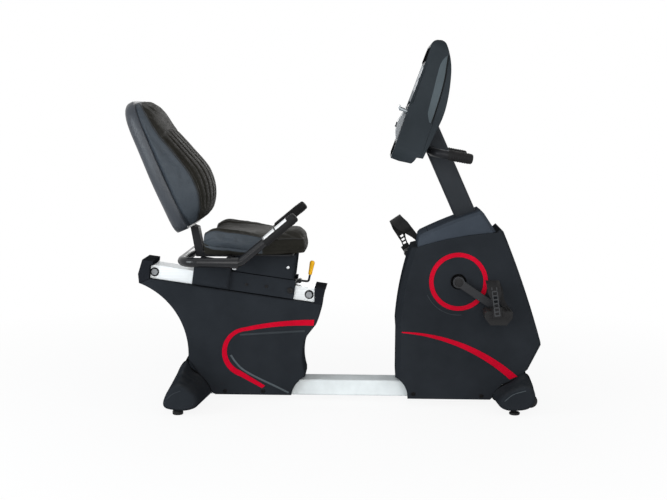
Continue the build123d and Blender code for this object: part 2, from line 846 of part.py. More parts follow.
def belt_loop(gap):
    """The loop at a given distance from both pulleys."""
    with BuildSketch() as loop:
        big = pulley_radius + gap
        small = hub_pulley_radius + gap
        upper_normal = belt_along * sin(belt_lean) - belt_below * cos(belt_lean)
        places = []
        for centre, radius, normal in (
            (crank_centre, big, upper_normal),
            (crank_centre, big, belt_along * -1),
            (crank_centre, big, run_normal),
            (flywheel_centre, small, run_normal),
            (flywheel_centre, small, belt_along),
            (flywheel_centre, small, upper_normal),
        ):
            spot = centre + normal * radius
            places.append((spot.X, spot.Z))
        add(outline(places[0], (places[1], places[2]), places[3], (places[4], places[5])))
    return loop.sketch


with BuildPart() as drive_belt:
    with BuildSketch(side_plane(-(pulley_y - belt_width / 2))):
        add(belt_loop(moving_clearance + belt_thickness))
        add(belt_loop(moving_clearance), mode=Mode.SUBTRACT)
    extrude(amount=belt_width)
pieces["drive_belt"] = drive_belt.part

# Idler pulley on the lower belt run
with BuildPart() as idler_pulley:
    with BuildSketch(side_plane(-(pulley_y - belt_width / 2))):
        with Locations(idler_place):
            Circle(idler_radius)
            Circle(idler_pin_radius + running_clearance, mode=Mode.SUBTRACT)
    extrude(amount=belt_width)
pieces["idler_pulley"] = idler_pulley.part

# Magnetic brake: an arm of magnets over the flywheel's rim, swung by a servo
brake_span = (62.0, 122.0)
brake_ear = (flywheel_width / 2 - brake_lug_half - moving_clearance)
brake_eye_radius = 13.0
ear_angle = brake_span[1] - 16.0


def on_rim(radius, angle):
    """A side-view point round the flywheel's centre."""
    return (flywheel_x + radius * cos(radians(angle)), flywheel_z + radius * sin(radians(angle)))


brake_inner = flywheel_radius + brake_gap
brake_outer = brake_inner + brake_arm_thickness
brake_middle = sum(brake_span) / 2
with BuildPart() as brake_arm:
    with BuildSketch(side_plane()):
        add(
            outline(
                on_rim(brake_inner, brake_span[0]),
                (on_rim(brake_inner, brake_middle), on_rim(brake_inner, brake_span[1])),
                on_rim(brake_outer, brake_span[1]),
                (on_rim(brake_outer, brake_middle), on_rim(brake_outer, brake_span[0])),
            )
        )
    extrude(amount=flywheel_width / 2, both=True)
    for side in (flywheel_width / 2, -brake_lug_half - moving_clearance):
        with BuildSketch(side_plane(side)):
            add(outline(brake_pivot, on_rim(brake_inner, brake_span[1]), on_rim(brake_inner, ear_angle),
                        on_rim(brake_outer, ear_angle)))
            with Locations(brake_pivot):
                Circle(brake_eye_radius)
                Circle(brake_pin_radius + running_clearance, mode=Mode.SUBTRACT)
        extrude(amount=brake_ear)
pieces["brake_arm"] = brake_arm.part

servo_height = 52.0
servo_depth = 38.0
servo_width = 40.0
servo_z = 318.0
with BuildPart() as brake_servo:
    with BuildSketch(Plane.YZ.offset(upright_rear)):
        with Locations((0, servo_z)):
            RectangleRounded(servo_width, servo_height, 4)
    extrude(amount=-servo_depth)
pieces["brake_servo"] = brake_servo.part

# Cranks: a flat arm with a boss on the axle and the pedal's axle at its other end
crank_arm_half = 15.0
crank_toe_half = 13.0
pedal_inner = crank_y + crank_thickness / 2 + pedal_offset
pedal_outer = pedal_inner + pedal_width
pedal_x = crank_x + crank_length * cos(radians(crank_angle))
pedal_z = crank_z - crank_length * sin(radians(crank_angle))
crank_plane = Plane(
    origin=(crank_x, 0, crank_z),
    x_dir=(cos(radians(crank_angle)), 0, -sin(radians(crank_angle))),
    z_dir=(0, -1, 0),
)
crank_turn = Location((2 * crank_x, 0, 2 * crank_z), (0, 180, 0))
with BuildPart() as right_crank:
    with BuildSketch(crank_plane.offset(crank_y - crank_thickness / 2)):
        add(
            outline(
                (0, crank_arm_half),
                ((-crank_arm_half, 0), (0, -crank_arm_half)),
                (crank_length, -crank_toe_half),
                ((crank_length + crank_toe_half, 0), (crank_length, crank_toe_half)),
            )
        )
    extrude(amount=crank_thickness)
    with BuildSketch(crank_plane.offset(crank_inner)):
        Circle(crank_boss_radius)
    extrude(amount=crank_seat_depth + crank_thickness / 2)
    with BuildSketch(crank_plane.offset(crank_y + crank_thickness / 2)):
        with Locations((crank_length, 0)):
            Circle(pedal_axle_radius)
    extrude(amount=pedal_offset + pedal_width)
    with BuildSketch(crank_plane.offset(crank_inner)):
        Circle(crank_axle_radius)
    extrude(amount=crank_seat_depth + crank_thickness / 2, mode=Mode.SUBTRACT)
pieces["right_crank"] = right_crank.part
pieces["left_crank"] = left_of(right_crank.part.moved(crank_turn))

# Pedals, weighted below the axle, each with a ratchet strap over the foot
pedal_top = 9.0
pedal_drop = 40.0
strap_half = 24.0
strap_leg_half = 11.0
strap_slot = (13.0, 8.0)
strap_slot_heights = (30.0, 44.0, 58.0, 72.0)
strap_shoulder = 66.0
strap_neck = 36.0
strap_leg_top = 40.0
strap_foot = -16.0
strap_reach = 75.0
inner_leg_foot = 24.0
right_strap_places = (-28.0, -14.0)
left_strap_places = (-12.0, -40.0)
buckle_size = (32.0, 38.0)
buckle_depth = 6.0
buckle_height = 4.0


def pedal_plane(x, z, tilt, y):
    """A side-view plane through a pedal's axle, turned with the pedal."""
    return Plane(origin=(x, y, z), x_dir=(cos(radians(tilt)), 0, sin(radians(tilt))), z_dir=(0, -1, 0))


def pedal(x, z, tilt):
    """A pedal body on the right-hand side."""
    front = pedal_length / 2 - pedal_rearward
    rear = front - pedal_length
    with BuildPart() as body:
        with BuildSketch(pedal_plane(x, z, tilt, -pedal_inner)):
            add(outline((rear, 4), (rear + 8, pedal_top), (front - 8, pedal_top), (front, 4),
                        (front - 2, -16), (front - 22, -pedal_drop), (rear + 22, -pedal_drop),
                        (rear + 2, -16)))
            Circle(pedal_axle_radius + running_clearance, mode=Mode.SUBTRACT)
        extrude(amount=pedal_width)
    return body.part


def strap_middle(top_place, foot_place, strap_height, height):
    """Place along the foot of the middle of a strap's leg, at a height over the pedal's axle."""
    return foot_place + (top_place - foot_place) * (height - pedal_top) / (strap_height - pedal_top)


def strap_leg(top_place, foot_place, strap_height):
    """Side-view outline of one leg of a strap: wide over the foot, narrow beside the pedal."""
    neck = strap_height - strap_neck
    steps = (
        (strap_height + strap_thickness, strap_half),
        (neck, strap_half),
        (strap_leg_top, strap_leg_half),
        (strap_foot, strap_leg_half),
    )
    middles = [strap_middle(top_place, foot_place, strap_height, height) for height, half in steps]
    ahead = [(middle + half, height) for middle, (height, half) in zip(middles, steps)]
    behind = [(middle - half, height) for middle, (height, half) in zip(middles, steps)]
    return outline(*ahead, *reversed(behind))


def pedal_strap(x, z, tilt, strap_height, places):
    """A band that arches over the foot, with a slotted outer leg that ends in a buckle."""
    top_place, outer_foot = places
    outer = -(pedal_outer + strap_thickness)
    inner = -(pedal_inner - strap_thickness)
    middle = (outer + inner) / 2
    along = Vector(cos(radians(tilt)), 0, sin(radians(tilt)))
    with BuildPart() as legs:
        with BuildSketch(pedal_plane(x, z, tilt, middle)):
            add(strap_leg(top_place, outer_foot, strap_height))
        extrude(amount=pedal_width)
        with BuildSketch(pedal_plane(x, z, tilt, middle)):
            add(strap_leg(top_place, inner_leg_foot, strap_height))
        extrude(amount=-pedal_width)
    with BuildPart() as strap:
        with BuildSketch(Plane(origin=(x, 0, z), x_dir=(0, 1, 0), z_dir=along)):
            add(
                outline(
                    (outer, strap_foot),
                    (outer, strap_shoulder),
                    ((middle, strap_height), (inner, strap_shoulder)),
                    (inner, strap_foot),
                    (inner - strap_thickness, strap_foot),
                    (inner - strap_thickness, strap_shoulder),
                    ((middle, strap_height - strap_thickness), (outer + strap_thickness, strap_shoulder)),
                    (outer + strap_thickness, strap_foot),
                )
            )
        extrude(amount=strap_reach, both=True)
        add(legs.part, mode=Mode.INTERSECT)
        with BuildSketch(pedal_plane(x, z, tilt, -pedal_outer)):
            with Locations(*[(strap_middle(top_place, outer_foot, strap_height, height), height)
                             for height in strap_slot_heights]):
                Rectangle(*strap_slot)
        extrude(amount=strap_thickness, mode=Mode.SUBTRACT)
        with BuildSketch(pedal_plane(x, z, tilt, outer)):
            with Locations((strap_middle(top_place, outer_foot, strap_height, buckle_height), buckle_height)):
                Rectangle(*buckle_size)
        extrude(amount=buckle_depth)
    return strap.part


pieces["right_pedal"] = pedal(pedal_x, pedal_z, 0)
pieces["right_pedal_strap"] = pedal_strap(pedal_x, pedal_z, 0, right_strap_height, right_strap_places)
left_pedal_x = 2 * crank_x - pedal_x
left_pedal_z = 2 * crank_z - pedal_z
pieces["left_pedal"] = left_of(pedal(left_pedal_x, left_pedal_z, left_pedal_tilt))
pieces["left_pedal_strap"] = left_of(
    pedal_strap(left_pedal_x, left_pedal_z, left_pedal_tilt, left_strap_height, left_strap_places)
)

# Backrest frame of reference: heights run up the back, depths run forward from its rear face
back_up = Vector(-sin(radians(back_lean)), 0, cos(radians(back_lean)))
back_forward = Vector(cos(radians(back_lean)), 0, sin(radians(back_lean)))
back_foot = Vector(back_foot_x, 0, back_foot_z)


def on_back(height, depth):
    """A side-view point of the backrest."""
    place = back_foot + back_up * height + back_forward * depth
    return (place.X, place.Z)


# Seat carriage, a welded frame: channel over the rail, riser, seat pan, backrest post and handlebar arms
cheek_gap = glide_thickness + moving_clearance
cheek_drop = 44.0
riser_rear_inset = 160.0
riser_front_inset = 47.0
riser_half = 45.0
pan_rear = -440.0
pan_front = -150.0
pan_half = 150.0
post_half = 28.0
post_thickness = 14.0
post_reach = 250.0
post_below = 20.0
post_bar_height = 18.0
post_shoulder = 12.0
post_foot_depth = 26.0
post_bar_rear = -515.0
arm_radius = 14.0
arm_x = handle_joint_x - arm_radius - seat_clearance
carriage_front = rail_length - carriage_front_gap
pan_underside = seat_pan_z - seat_pan_thickness


def on_rail(along, above):
    """A side-view point measured along the rail from its rear end and above its top face."""
    place = rail_plane.from_local_coords((along, above, 0))
    return (place.X, place.Z)


channel_top = cheek_gap + carriage_plate
riser_rear = on_rail(carriage_rear + riser_rear_inset, channel_top)
riser_front = on_rail(carriage_front - riser_front_inset, channel_top)
post_front_depth = back_shell_depth
post_rear_depth = back_shell_depth - post_thickness
with BuildPart() as seat_carriage:
    with BuildSketch(rail_plane):
        add(outline((carriage_rear, cheek_gap), (carriage_front, cheek_gap), (carriage_front, channel_top),
                    (carriage_rear, channel_top)))
    extrude(amount=rail_width / 2 + cheek_gap + carriage_plate, both=True)
    cheek_face = outline((carriage_rear, -cheek_drop), (carriage_front, -cheek_drop),
                         (carriage_front, cheek_gap), (carriage_rear, cheek_gap))
    for side in (rail_width / 2 + cheek_gap, -(rail_width / 2 + cheek_gap + carriage_plate)):
        with BuildSketch(rail_plane.offset(side)):
            add(cheek_face)
        extrude(amount=carriage_plate)
    with BuildSketch(side_plane()):
        add(outline(riser_rear, riser_front, (riser_front[0], pan_underside), (riser_rear[0], pan_underside)))
    extrude(amount=riser_half, both=True)
    with BuildSketch(side_plane()):
        add(outline(riser_rear, riser_front, (riser_front[0], pan_underside), (riser_rear[0], pan_underside)))
    extrude(amount=riser_half - carriage_plate, both=True, mode=Mode.SUBTRACT)
    with BuildSketch(Plane.XY.offset(pan_underside)):
        with Locations(((pan_rear + pan_front) / 2, 0)):
            RectangleRounded(pan_front - pan_rear, 2 * pan_half, post_half)
    extrude(amount=seat_pan_thickness)
    with BuildSketch(side_plane()):
        add(
            outline(
                on_back(post_reach, post_rear_depth),
                on_back(post_reach, post_front_depth),
                on_back(-post_below, post_front_depth),
                on_back(-post_below - post_shoulder, post_front_depth + post_shoulder),
                (post_bar_rear + post_foot_depth, pan_underside),
                (riser_rear[0], pan_underside),
                (riser_rear[0], pan_underside - post_bar_height),
                (post_bar_rear, pan_underside - post_bar_height),
                on_back(-post_below, post_rear_depth),
            )
        )
    extrude(amount=post_half, both=True)
    with BuildSketch(side_plane()):
        with Locations((arm_x, handle_z)):
            Circle(arm_radius)
    extrude(amount=handle_half, both=True)
    with BuildSketch(Plane.YZ.offset(arm_x - 2 * arm_radius)):
        with Locations((-handle_half, handle_z), (handle_half, handle_z)):
            Circle(handle_radius)
    extrude(amount=4 * arm_radius, mode=Mode.SUBTRACT)
pieces["seat_carriage"] = seat_carriage.part

# Rail glides, low-friction pads inside the channel
glide_length = 90.0
glide_inset = 12.0
glide_width = 70.0
side_glide_height = 34.0
glide_places = (carriage_rear + glide_inset, carriage_front - glide_inset - glide_length)
with BuildPart() as rail_glides:
    for along in glide_places:
        with BuildSketch(rail_plane):
            add(outline((along, moving_clearance), (along + glide_length, moving_clearance),
                        (along + glide_length, cheek_gap), (along, cheek_gap)))
        extrude(amount=glide_width / 2, both=True)
        for side in (rail_width / 2 + moving_clearance, -(rail_width / 2 + cheek_gap)):
            with BuildSketch(rail_plane.offset(side)):
                add(outline((along, -side_glide_height), (along + glide_length, -side_glide_height),
                            (along + glide_length, -moving_clearance), (along, -moving_clearance)))
            extrude(amount=glide_thickness)
pieces["rail_glides"] = rail_glides.part

# Carriage side covers: a plain front panel and a rounded rear block on each side
side_cover_inner = rail_width / 2 + cheek_gap + carriage_plate
side_cover_split = carriage_rear + 137.0
side_cover_top = 24.0
rear_block_top = 38.0
rear_block_extra = 16.0
rear_block_round = 14.0
with BuildPart() as side_cover:
    with BuildSketch(rail_plane.offset(side_cover_inner)):
        add(outline((side_cover_split, -cheek_drop), (carriage_front, -cheek_drop),
                    (carriage_front, side_cover_top), (side_cover_split, side_cover_top)))
    extrude(amount=cover_depth)
    with BuildSketch(rail_plane.offset(side_cover_inner)):
        add(outline((carriage_rear, -cheek_drop), (side_cover_split, -cheek_drop),
                    (side_cover_split, rear_block_top), (carriage_rear, rear_block_top)))
    extrude(amount=cover_depth + rear_block_extra)
    block_edges = side_cover.faces().sort_by(Axis.Y)[0].edges()
    fillet(block_edges, radius=rear_block_round)
    with BuildSketch(rail_plane.offset(side_cover_inner)):
        add(outline((carriage_rear + shroud_wall, -cheek_drop + shroud_wall),
                    (carriage_front - shroud_wall, -cheek_drop + shroud_wall),
                    (carriage_front - shroud_wall, side_cover_top - shroud_wall),
                    (carriage_rear + shroud_wall, side_cover_top - shroud_wall)))
    extrude(amount=cover_depth - shroud_wall, mode=Mode.SUBTRACT)
pieces["carriage_covers"] = both_sides(side_cover.part)

# Seat base cover, a box round the riser between the carriage and the seat pan
base_cover_half = 95.0
base_cover_gap = 28.0
base_cover_behind = 13.3
base_cover_ahead = 51.3
base_cover_rear = riser_rear[0] - base_cover_behind
base_cover_front = riser_front[0] + base_cover_ahead
base_cover_taper = 11.0
base_cover_round = 10.0
base_cover_front_foot = base_cover_front - base_cover_taper
base_cover_face = outline(
    (base_cover_rear, rail_height_at(base_cover_rear, base_cover_gap)),
    (base_cover_front_foot, rail_height_at(base_cover_front_foot, base_cover_gap)),
    (base_cover_front, pan_underside - seat_clearance),
    (base_cover_rear, pan_underside - seat_clearance),
)
with BuildPart() as seat_base_cover:
    with BuildSketch(side_plane()):
        add(base_cover_face)
    extrude(amount=base_cover_half, both=True)
    upright_edges = seat_base_cover.faces().sort_by(Axis.X)[-1].edges().filter_by(Axis.Y, reverse=True)
    fillet(upright_edges, radius=base_cover_round)
    with BuildSketch(side_plane()):
        add(hollow(base_cover_face, shroud_wall))
    extrude(amount=base_cover_half - shroud_wall, both=True, mode=Mode.SUBTRACT)
    with BuildSketch(side_plane()):
        with Locations((riser_rear[0] - panel_clearance, 0)):
            Rectangle(riser_front[0] - riser_rear[0] + 2 * panel_clearance, seat_pan_z,
                      align=(Align.MIN, Align.MIN))
    extrude(amount=riser_half + panel_clearance, both=True, mode=Mode.SUBTRACT)
    with BuildSketch(side_plane()):
        with Locations((arm_x, handle_z)):
            Circle(arm_radius + panel_clearance)
    extrude(amount=base_cover_half, both=True, mode=Mode.SUBTRACT)
    with BuildSketch(side_plane()):
        with Locations((base_cover_rear, pan_underside)):
            Rectangle(2 * (riser_rear[0] - base_cover_rear), 2 * (post_bar_height + panel_clearance))
    extrude(amount=post_half + panel_clearance, both=True, mode=Mode.SUBTRACT)
pieces["seat_base_cover"] = seat_base_cover.part

# Seat cushion, lofted from front to rear through crowned sections with drawn-in sides
seat_floor = seat_pan_z + seat_clearance
seat_side_swell = 5.0
seat_draw_in = 0.86
seat_drawn_half = 205.0
seat_drawn_top = 646.0
seat_stations = (
    # place from the rear, half width, underside edge, side seam, crown
    (0, 188, 588, 630, 614),
    (26, 201, 580, 645, 624),
    (95, 205, 573, 645, 626),
    (205, 204, 562, 629, 628),
    (280, 166, 560, 618, 636),
    (342, 120, 561, 615, 637),
    (365, 102, 564, 610, 624),
)
seat_scale_x = (seat_front_x - seat_rear_x) / seat_stations[-1][0]
seat_scale_y = seat_half_width / seat_drawn_half
seat_lift = seat_top - seat_drawn_top
with BuildPart() as seat_cushion:
    for place, width, edge, seam, crown in seat_stations:
        half = width * seat_scale_y
        with BuildSketch(Plane.YZ.offset(seat_rear_x + place * seat_scale_x)):
            add(
                outline(
                    (-half * seat_draw_in, seat_floor),
                    (half * seat_draw_in, seat_floor),
                    (half - seat_side_swell, edge),
                    ((half, (edge + seam) / 2), (half - seat_side_swell, seam + seat_lift)),
                    ((0, crown + seat_lift), (-half + seat_side_swell, seam + seat_lift)),
                    ((-half, (edge + seam) / 2), (-half + seat_side_swell, edge)),
                )
            )
    loft()
pieces["seat_cushion"] = seat_cushion.part

# Backrest shell, a moulded tray whose rear edge is rounded over, slotted for the post
shell_round = 24.0
back_drawn_half = 205.0
shell_stations = (
    # height, half width, how far the rear face stands forward
    (-18, 146, -9),
    (50, 194, -11),
    (134, 203, -11),
    (245, 201, -10),
    (330, 194, -9),
    (413, 174, -7),
    (450, 146, 1),
    (466, 112, 14),
)
back_scale_z = back_height / shell_stations[-1][0]
back_scale_y = back_half_width / back_drawn_half


def back_section(height):
    """A plane across the backrest: sketch x is +Y, sketch y runs forward."""
    centre = back_foot + back_up * (height * back_scale_z)
    return Plane(origin=centre, x_dir=(0, 1, 0), z_dir=back_up * -1)


with BuildPart() as backrest_shell:
    for height, width, forward in shell_stations:
        half = width * back_scale_y
        with BuildSketch(back_section(height)):
            add(
                outline(
                    (-half, back_shell_depth),
                    ((-half + shell_round * 0.25, forward + (back_shell_depth - forward) * 0.3),
                     (-half + shell_round, forward)),
                    (half - shell_round, forward),
                    ((half - shell_round * 0.25, forward + (back_shell_depth - forward) * 0.3),
                     (half, back_shell_depth)),
                )
            )
    loft()
    with BuildSketch(side_plane()):
        add(
            outline(
                on_back(post_reach + panel_clearance, post_rear_depth - panel_clearance),
                on_back(post_reach + panel_clearance, back_shell_depth + panel_clearance),
                on_back(-2 * post_below, back_shell_depth + panel_clearance),
                on_back(-2 * post_below, post_rear_depth - panel_clearance),
            )
        )
    extrude(amount=post_half + panel_clearance, both=True, mode=Mode.SUBTRACT)
pieces["backrest_shell"] = backrest_shell.part

# Backrest cushion, deep at the lumbar and thin at the top, with a crowned front between side seams
cushion_stations = (
    # height, half width, side seam depth, crown depth
    (-16, 138, 66, 74),
    (14, 174, 98, 120),
    (70, 198, 128, 155),
    (134, 205, 133, 164),
    (245, 203, 108, 133),
    (330, 196, 83, 104),
    (413, 176, 70, 89),
    (448, 146, 62, 76),
    (462, 112, 52, 60),
)
cushion_swell = 4.0
with BuildPart() as backrest_cushion:
    for height, width, seam, crown in cushion_stations:
        half = width * back_scale_y
        foot = back_shell_depth + seat_clearance
        with BuildSketch(back_section(height)):
            add(
                outline(
                    (-half + cushion_swell, foot),
                    ((-half, (foot + seam) / 2), (-half + cushion_swell, seam)),
                    ((0, crown), (half - cushion_swell, seam)),
                    ((half, (foot + seam) / 2), (half - cushion_swell, foot)),
                )
            )
    loft()
pieces["backrest_cushion"] = backrest_cushion.part

# Side handlebar: a U-shaped tube behind the seat, with a rising handle let into each end under a collar
handle_run = 30.0
handle_bend = 38.0
handle_reach = 241.0
handle_tube_radius = 15.0
handle_wall = 2.5
handle_insert = 30.0
collar_radius = 19.5
collar_length = 27.0
grip_length = 128.0
grip_end = 5.0
pulse_length = 50.0
pulse_gap = 5.0
pulse_height = 1.0
pulse_spread = 62.0
handle_knee = Vector(handle_joint_x + handle_run, -handle_half, handle_z)
handle_dir = Vector(cos(radians(handle_rise)), 0, sin(radians(handle_rise)))
handle_tip = handle_knee + handle_dir * handle_reach
with BuildPart() as side_handle:
    with BuildLine(side_plane(-handle_half)) as handle_path:
        FilletPolyline((handle_joint_x - handle_insert, handle_z), (handle_knee.X, handle_knee.Z),
                       (handle_tip.X, handle_tip.Z), radius=handle_bend)
    with BuildSketch(Plane(origin=handle_path.wires()[0] @ 0, z_dir=(1, 0, 0))):
        Circle(handle_tube_radius)
        Circle(handle_tube_radius - handle_wall, mode=Mode.SUBTRACT)
    sweep(path=handle_path.wires()[0])
with BuildPart() as collar:
    with BuildSketch(Plane(origin=(handle_joint_x, -handle_half, handle_z), z_dir=(1, 0, 0))):
        Circle(collar_radius)
        Circle(handle_tube_radius, mode=Mode.SUBTRACT)
    extrude(amount=collar_length)
with BuildPart() as seat_handlebar:
    with BuildLine(Plane.XY.offset(handle_z)) as loop_path:
        FilletPolyline((handle_joint_x, -handle_half), (handle_rear_x, -handle_half),
                       (handle_rear_x, handle_half), (handle_joint_x, handle_half), radius=handle_corner)
    with BuildSketch(Plane(origin=(handle_joint_x, -handle_half, handle_z), z_dir=(-1, 0, 0))):
        Circle(handle_radius)
        Circle(handle_tube_radius, mode=Mode.SUBTRACT)
    sweep(path=loop_path.wires()[0])
    add(both_sides(side_handle.part))
    add(both_sides(collar.part))
pieces["seat_handlebar"] = seat_handlebar.part


def along_handle(distance):
    """A plane across the rising handle, a distance below its tip; sketch x points up and back."""
    upper_side = (-handle_dir.Z, 0, handle_dir.X)
    return Plane(origin=handle_tip - handle_dir * distance, x_dir=upper_side, z_dir=handle_dir)


with BuildPart() as handle_grip:
    with BuildSketch(along_handle(grip_length)):
        Circle(grip_radius)
        Circle(handle_tube_radius, mode=Mode.SUBTRACT)
    extrude(amount=grip_length)
    with BuildSketch(along_handle(0)):
        Circle(grip_radius)
    extrude(amount=grip_end)
pieces["handle_grips"] = both_sides(handle_grip.part)


def wrap(radius, angle):
    """A point round the grip, measured from its upper side."""
    return (radius * cos(radians(angle)), radius * sin(radians(angle)))


pulse_outer = grip_radius + pulse_height
with BuildPart() as pulse_plate_pair:
    for step in (1, 2):
        start = grip_length - (step - 1) * (pulse_length + pulse_gap) - pulse_gap
        with BuildSketch(along_handle(start)):
            add(
                outline(
                    wrap(grip_radius, -pulse_spread),
                    (wrap(grip_radius, 0), wrap(grip_radius, pulse_spread)),
                    wrap(pulse_outer, pulse_spread),
                    (wrap(pulse_outer, 0), wrap(pulse_outer, -pulse_spread)),
                )
            )
        extrude(amount=pulse_length)
pieces["pulse_plates"] = both_sides(pulse_plate_pair.part)

# Seat release lever: a bent rod on a cross pin at the carriage's front, with a yellow grip
lever_forward = 11.0
lever_above = 14.0
lever_pivot = on_rail(carriage_front + lever_forward, lever_above)
lever_hub_radius = 8.0
lever_hub_half = 10.0
lever_pin_radius = 4.0
lever_rod_radius = 4.0
lever_knee = (lever_pivot[0] + 32.5, lever_pivot[1] - 3.2)
lever_tip = (lever_pivot[0] + 45.5, lever_pivot[1] + 64.8)
lever_bend = 8.0
lever_grip_radius = 6.5
lever_grip_length = 42.0
lever_lug = 5.0
lever_lug_gap = 0.6
lug_centre = carriage_front + lever_forward
with BuildPart() as lever_bracket:
    for side in (lever_hub_half + lever_lug_gap, -lever_hub_half - lever_lug_gap - lever_lug):
        with BuildSketch(rail_plane.offset(side)):
            add(outline((carriage_front, cheek_gap),
                        (lug_centre, lever_above - lever_hub_radius),
                        ((lug_centre + lever_hub_radius, lever_above),
                         (lug_centre, lever_above + lever_hub_radius)),
                        (carriage_front, channel_top)))
        extrude(amount=lever_lug)
    with BuildSketch(side_plane()):
        with Locations(lever_pivot):
            Circle(lever_pin_radius)
    extrude(amount=lever_hub_half + lever_lug_gap + lever_lug, both=True)
with BuildPart() as carriage_with_bracket:
    add(pieces["seat_carriage"])
    add(lever_bracket.part)
pieces["seat_carriage"] = carriage_with_bracket.part

with BuildPart() as seat_lever:
    with BuildLine(side_plane()) as rod_path:
        FilletPolyline(lever_pivot, lever_knee, lever_tip, radius=lever_bend)
    with BuildSketch(Plane(origin=rod_path.wires()[0] @ 0, z_dir=rod_path.wires()[0] % 0)):
        Circle(lever_rod_radius)
    sweep(path=rod_path.wires()[0])
    with BuildSketch(side_plane()):
        with Locations(lever_pivot):
            Circle(lever_hub_radius)
    extrude(amount=lever_hub_half, both=True)
    with BuildSketch(side_plane()):
        with Locations(lever_pivot):
            Circle(lever_pin_radius + running_clearance)
    extrude(amount=lever_hub_half, both=True, mode=Mode.SUBTRACT)
pieces["seat_lever"] = seat_lever.part

lever_axis = Vector(lever_tip[0] - lever_knee[0], 0, lever_tip[1] - lever_knee[1]).normalized()
lever_top = Vector(lever_tip[0], 0, lever_tip[1])
lever_cap = 4.0
with BuildPart() as lever_grip:
    with BuildSketch(Plane(origin=lever_top - lever_axis * lever_grip_length, z_dir=lever_axis)):
        Circle(lever_grip_radius)
    extrude(amount=lever_grip_length + lever_cap)
    with BuildSketch(Plane(origin=lever_top - lever_axis * lever_grip_length, z_dir=lever_axis)):
        Circle(lever_rod_radius)
    extrude(amount=lever_grip_length, mode=Mode.SUBTRACT)
pieces["lever_grip"] = lever_grip.part

# Console, two moulded shells over a bracket on the mast's top; sketch x is depth, sketch y runs up the face
console_depth = Vector(cos(radians(console_lean)), 0, -sin(radians(console_lean)))
console_foot = Vector(console_foot_x, 0, console_foot_z)
console_plane = Plane(origin=console_foot, x_dir=console_depth, z_dir=(0, -1, 0))


def console_face(depth):
    """A plane across the console facing the mast: sketch x is +Y, sketch y runs up the face."""
    return Plane(origin=console_foot + console_depth * depth, x_dir=(0, 1, 0), z_dir=console_depth)


console_front = -40.0
console_back = 130.0
console_side = console_width / 2
with BuildSketch(console_plane) as console_profile:
    add(
        outline(
            (0, 0), (-4, 178), (-8, 184), (4, 206), (2, 345), (-5, 353), (-8, 404),
            ((-5, 426), (12, 437)),
            ((32, 438), (42, 431)),
            ((72, 388), (92, 340)),
            ((107, 283), (115, 237)),
            ((118, 190), (115, 150)),
            (108, 62), (106, 35), (84, 30), (80, 15), (74, 4), (30, -3), (0, -3),
        )
    )
with BuildSketch(console_face(console_front)) as console_elevation:
    add(
        outline(
            (-console_side + 80, -12), (console_side - 80, -12),
            ((console_side - 28, 8), (console_side - 14, 45)),
            ((console_side + 3, 230), (console_side - 10, 400)),
            ((console_side - 18, 432), (console_side - 50, 446)),
            (-console_side + 50, 446),
            ((-console_side + 18, 432), (-console_side + 10, 400)),
            ((-console_side - 3, 230), (-console_side + 14, 45)),
            ((-console_side + 28, 8), (-console_side + 80, -12)),
        )
    )


def console_body(profile, elevation):
    """The form whose side view and face view are the two given faces."""
    with BuildPart() as body:
        with BuildSketch(console_plane):
            add(profile)
        extrude(amount=console_width, both=True)
        with BuildSketch(console_face(console_front)):
            add(elevation)
        extrude(amount=console_back - console_front, mode=Mode.INTERSECT)
    return body.part


console_form = console_body(console_profile.sketch_local, console_elevation.sketch_local)
console_cavity = console_body(
    offset(console_profile.sketch_local, amount=-console_wall, mode=Mode.PRIVATE),
    offset(console_elevation.sketch_local, amount=-console_wall, mode=Mode.PRIVATE),
)
seam_line = ((44, 460), (66, 386), (80, 317), (87, 252), (91, 178), (95, 108), (97, 40), (97, -30))


def console_half(shift, edge):
    """One side of the console's seam, as a block reaching out to the given depth."""
    with BuildPart() as block:
        with BuildSketch(console_plane):
            add(outline(*[(depth + shift, along) for depth, along in seam_line],
                        (edge, seam_line[-1][1]), (edge, seam_line[0][1])))
        extrude(amount=console_width, both=True)
    return block.part


with BuildPart() as mast_passage:
    with BuildSketch(mast_plane):
        RectangleRounded(mast_depth + 2 * panel_clearance, mast_width + 2 * panel_clearance,
                         mast_corner + panel_clearance)
    extrude(amount=mast_length + panel_clearance)

# The bracket plate is welded to the mast, and four bosses of the front shell stand on it
bracket_front = 57.0
bracket_plate = 5.0
bracket_half = 74.0
bracket_low = 92.0
bracket_high = 190.0
boss_radius = 7.0
boss_inset = 14.0
boss_start = -1.5
with BuildPart() as mast_with_bracket:
    add(pieces["mast"])
    with BuildSketch(console_plane):
        add(outline((bracket_front, bracket_low), (bracket_front + bracket_plate, bracket_low),
                    (bracket_front + bracket_plate, bracket_high), (bracket_front, bracket_high)))
    extrude(amount=bracket_half, both=True)
    with BuildSketch(side_plane()):
        with Locations(front_bar_centre):
            Circle(front_bar_radius)
    extrude(amount=mast_width, both=True, mode=Mode.SUBTRACT)
pieces["mast"] = mast_with_bracket.part

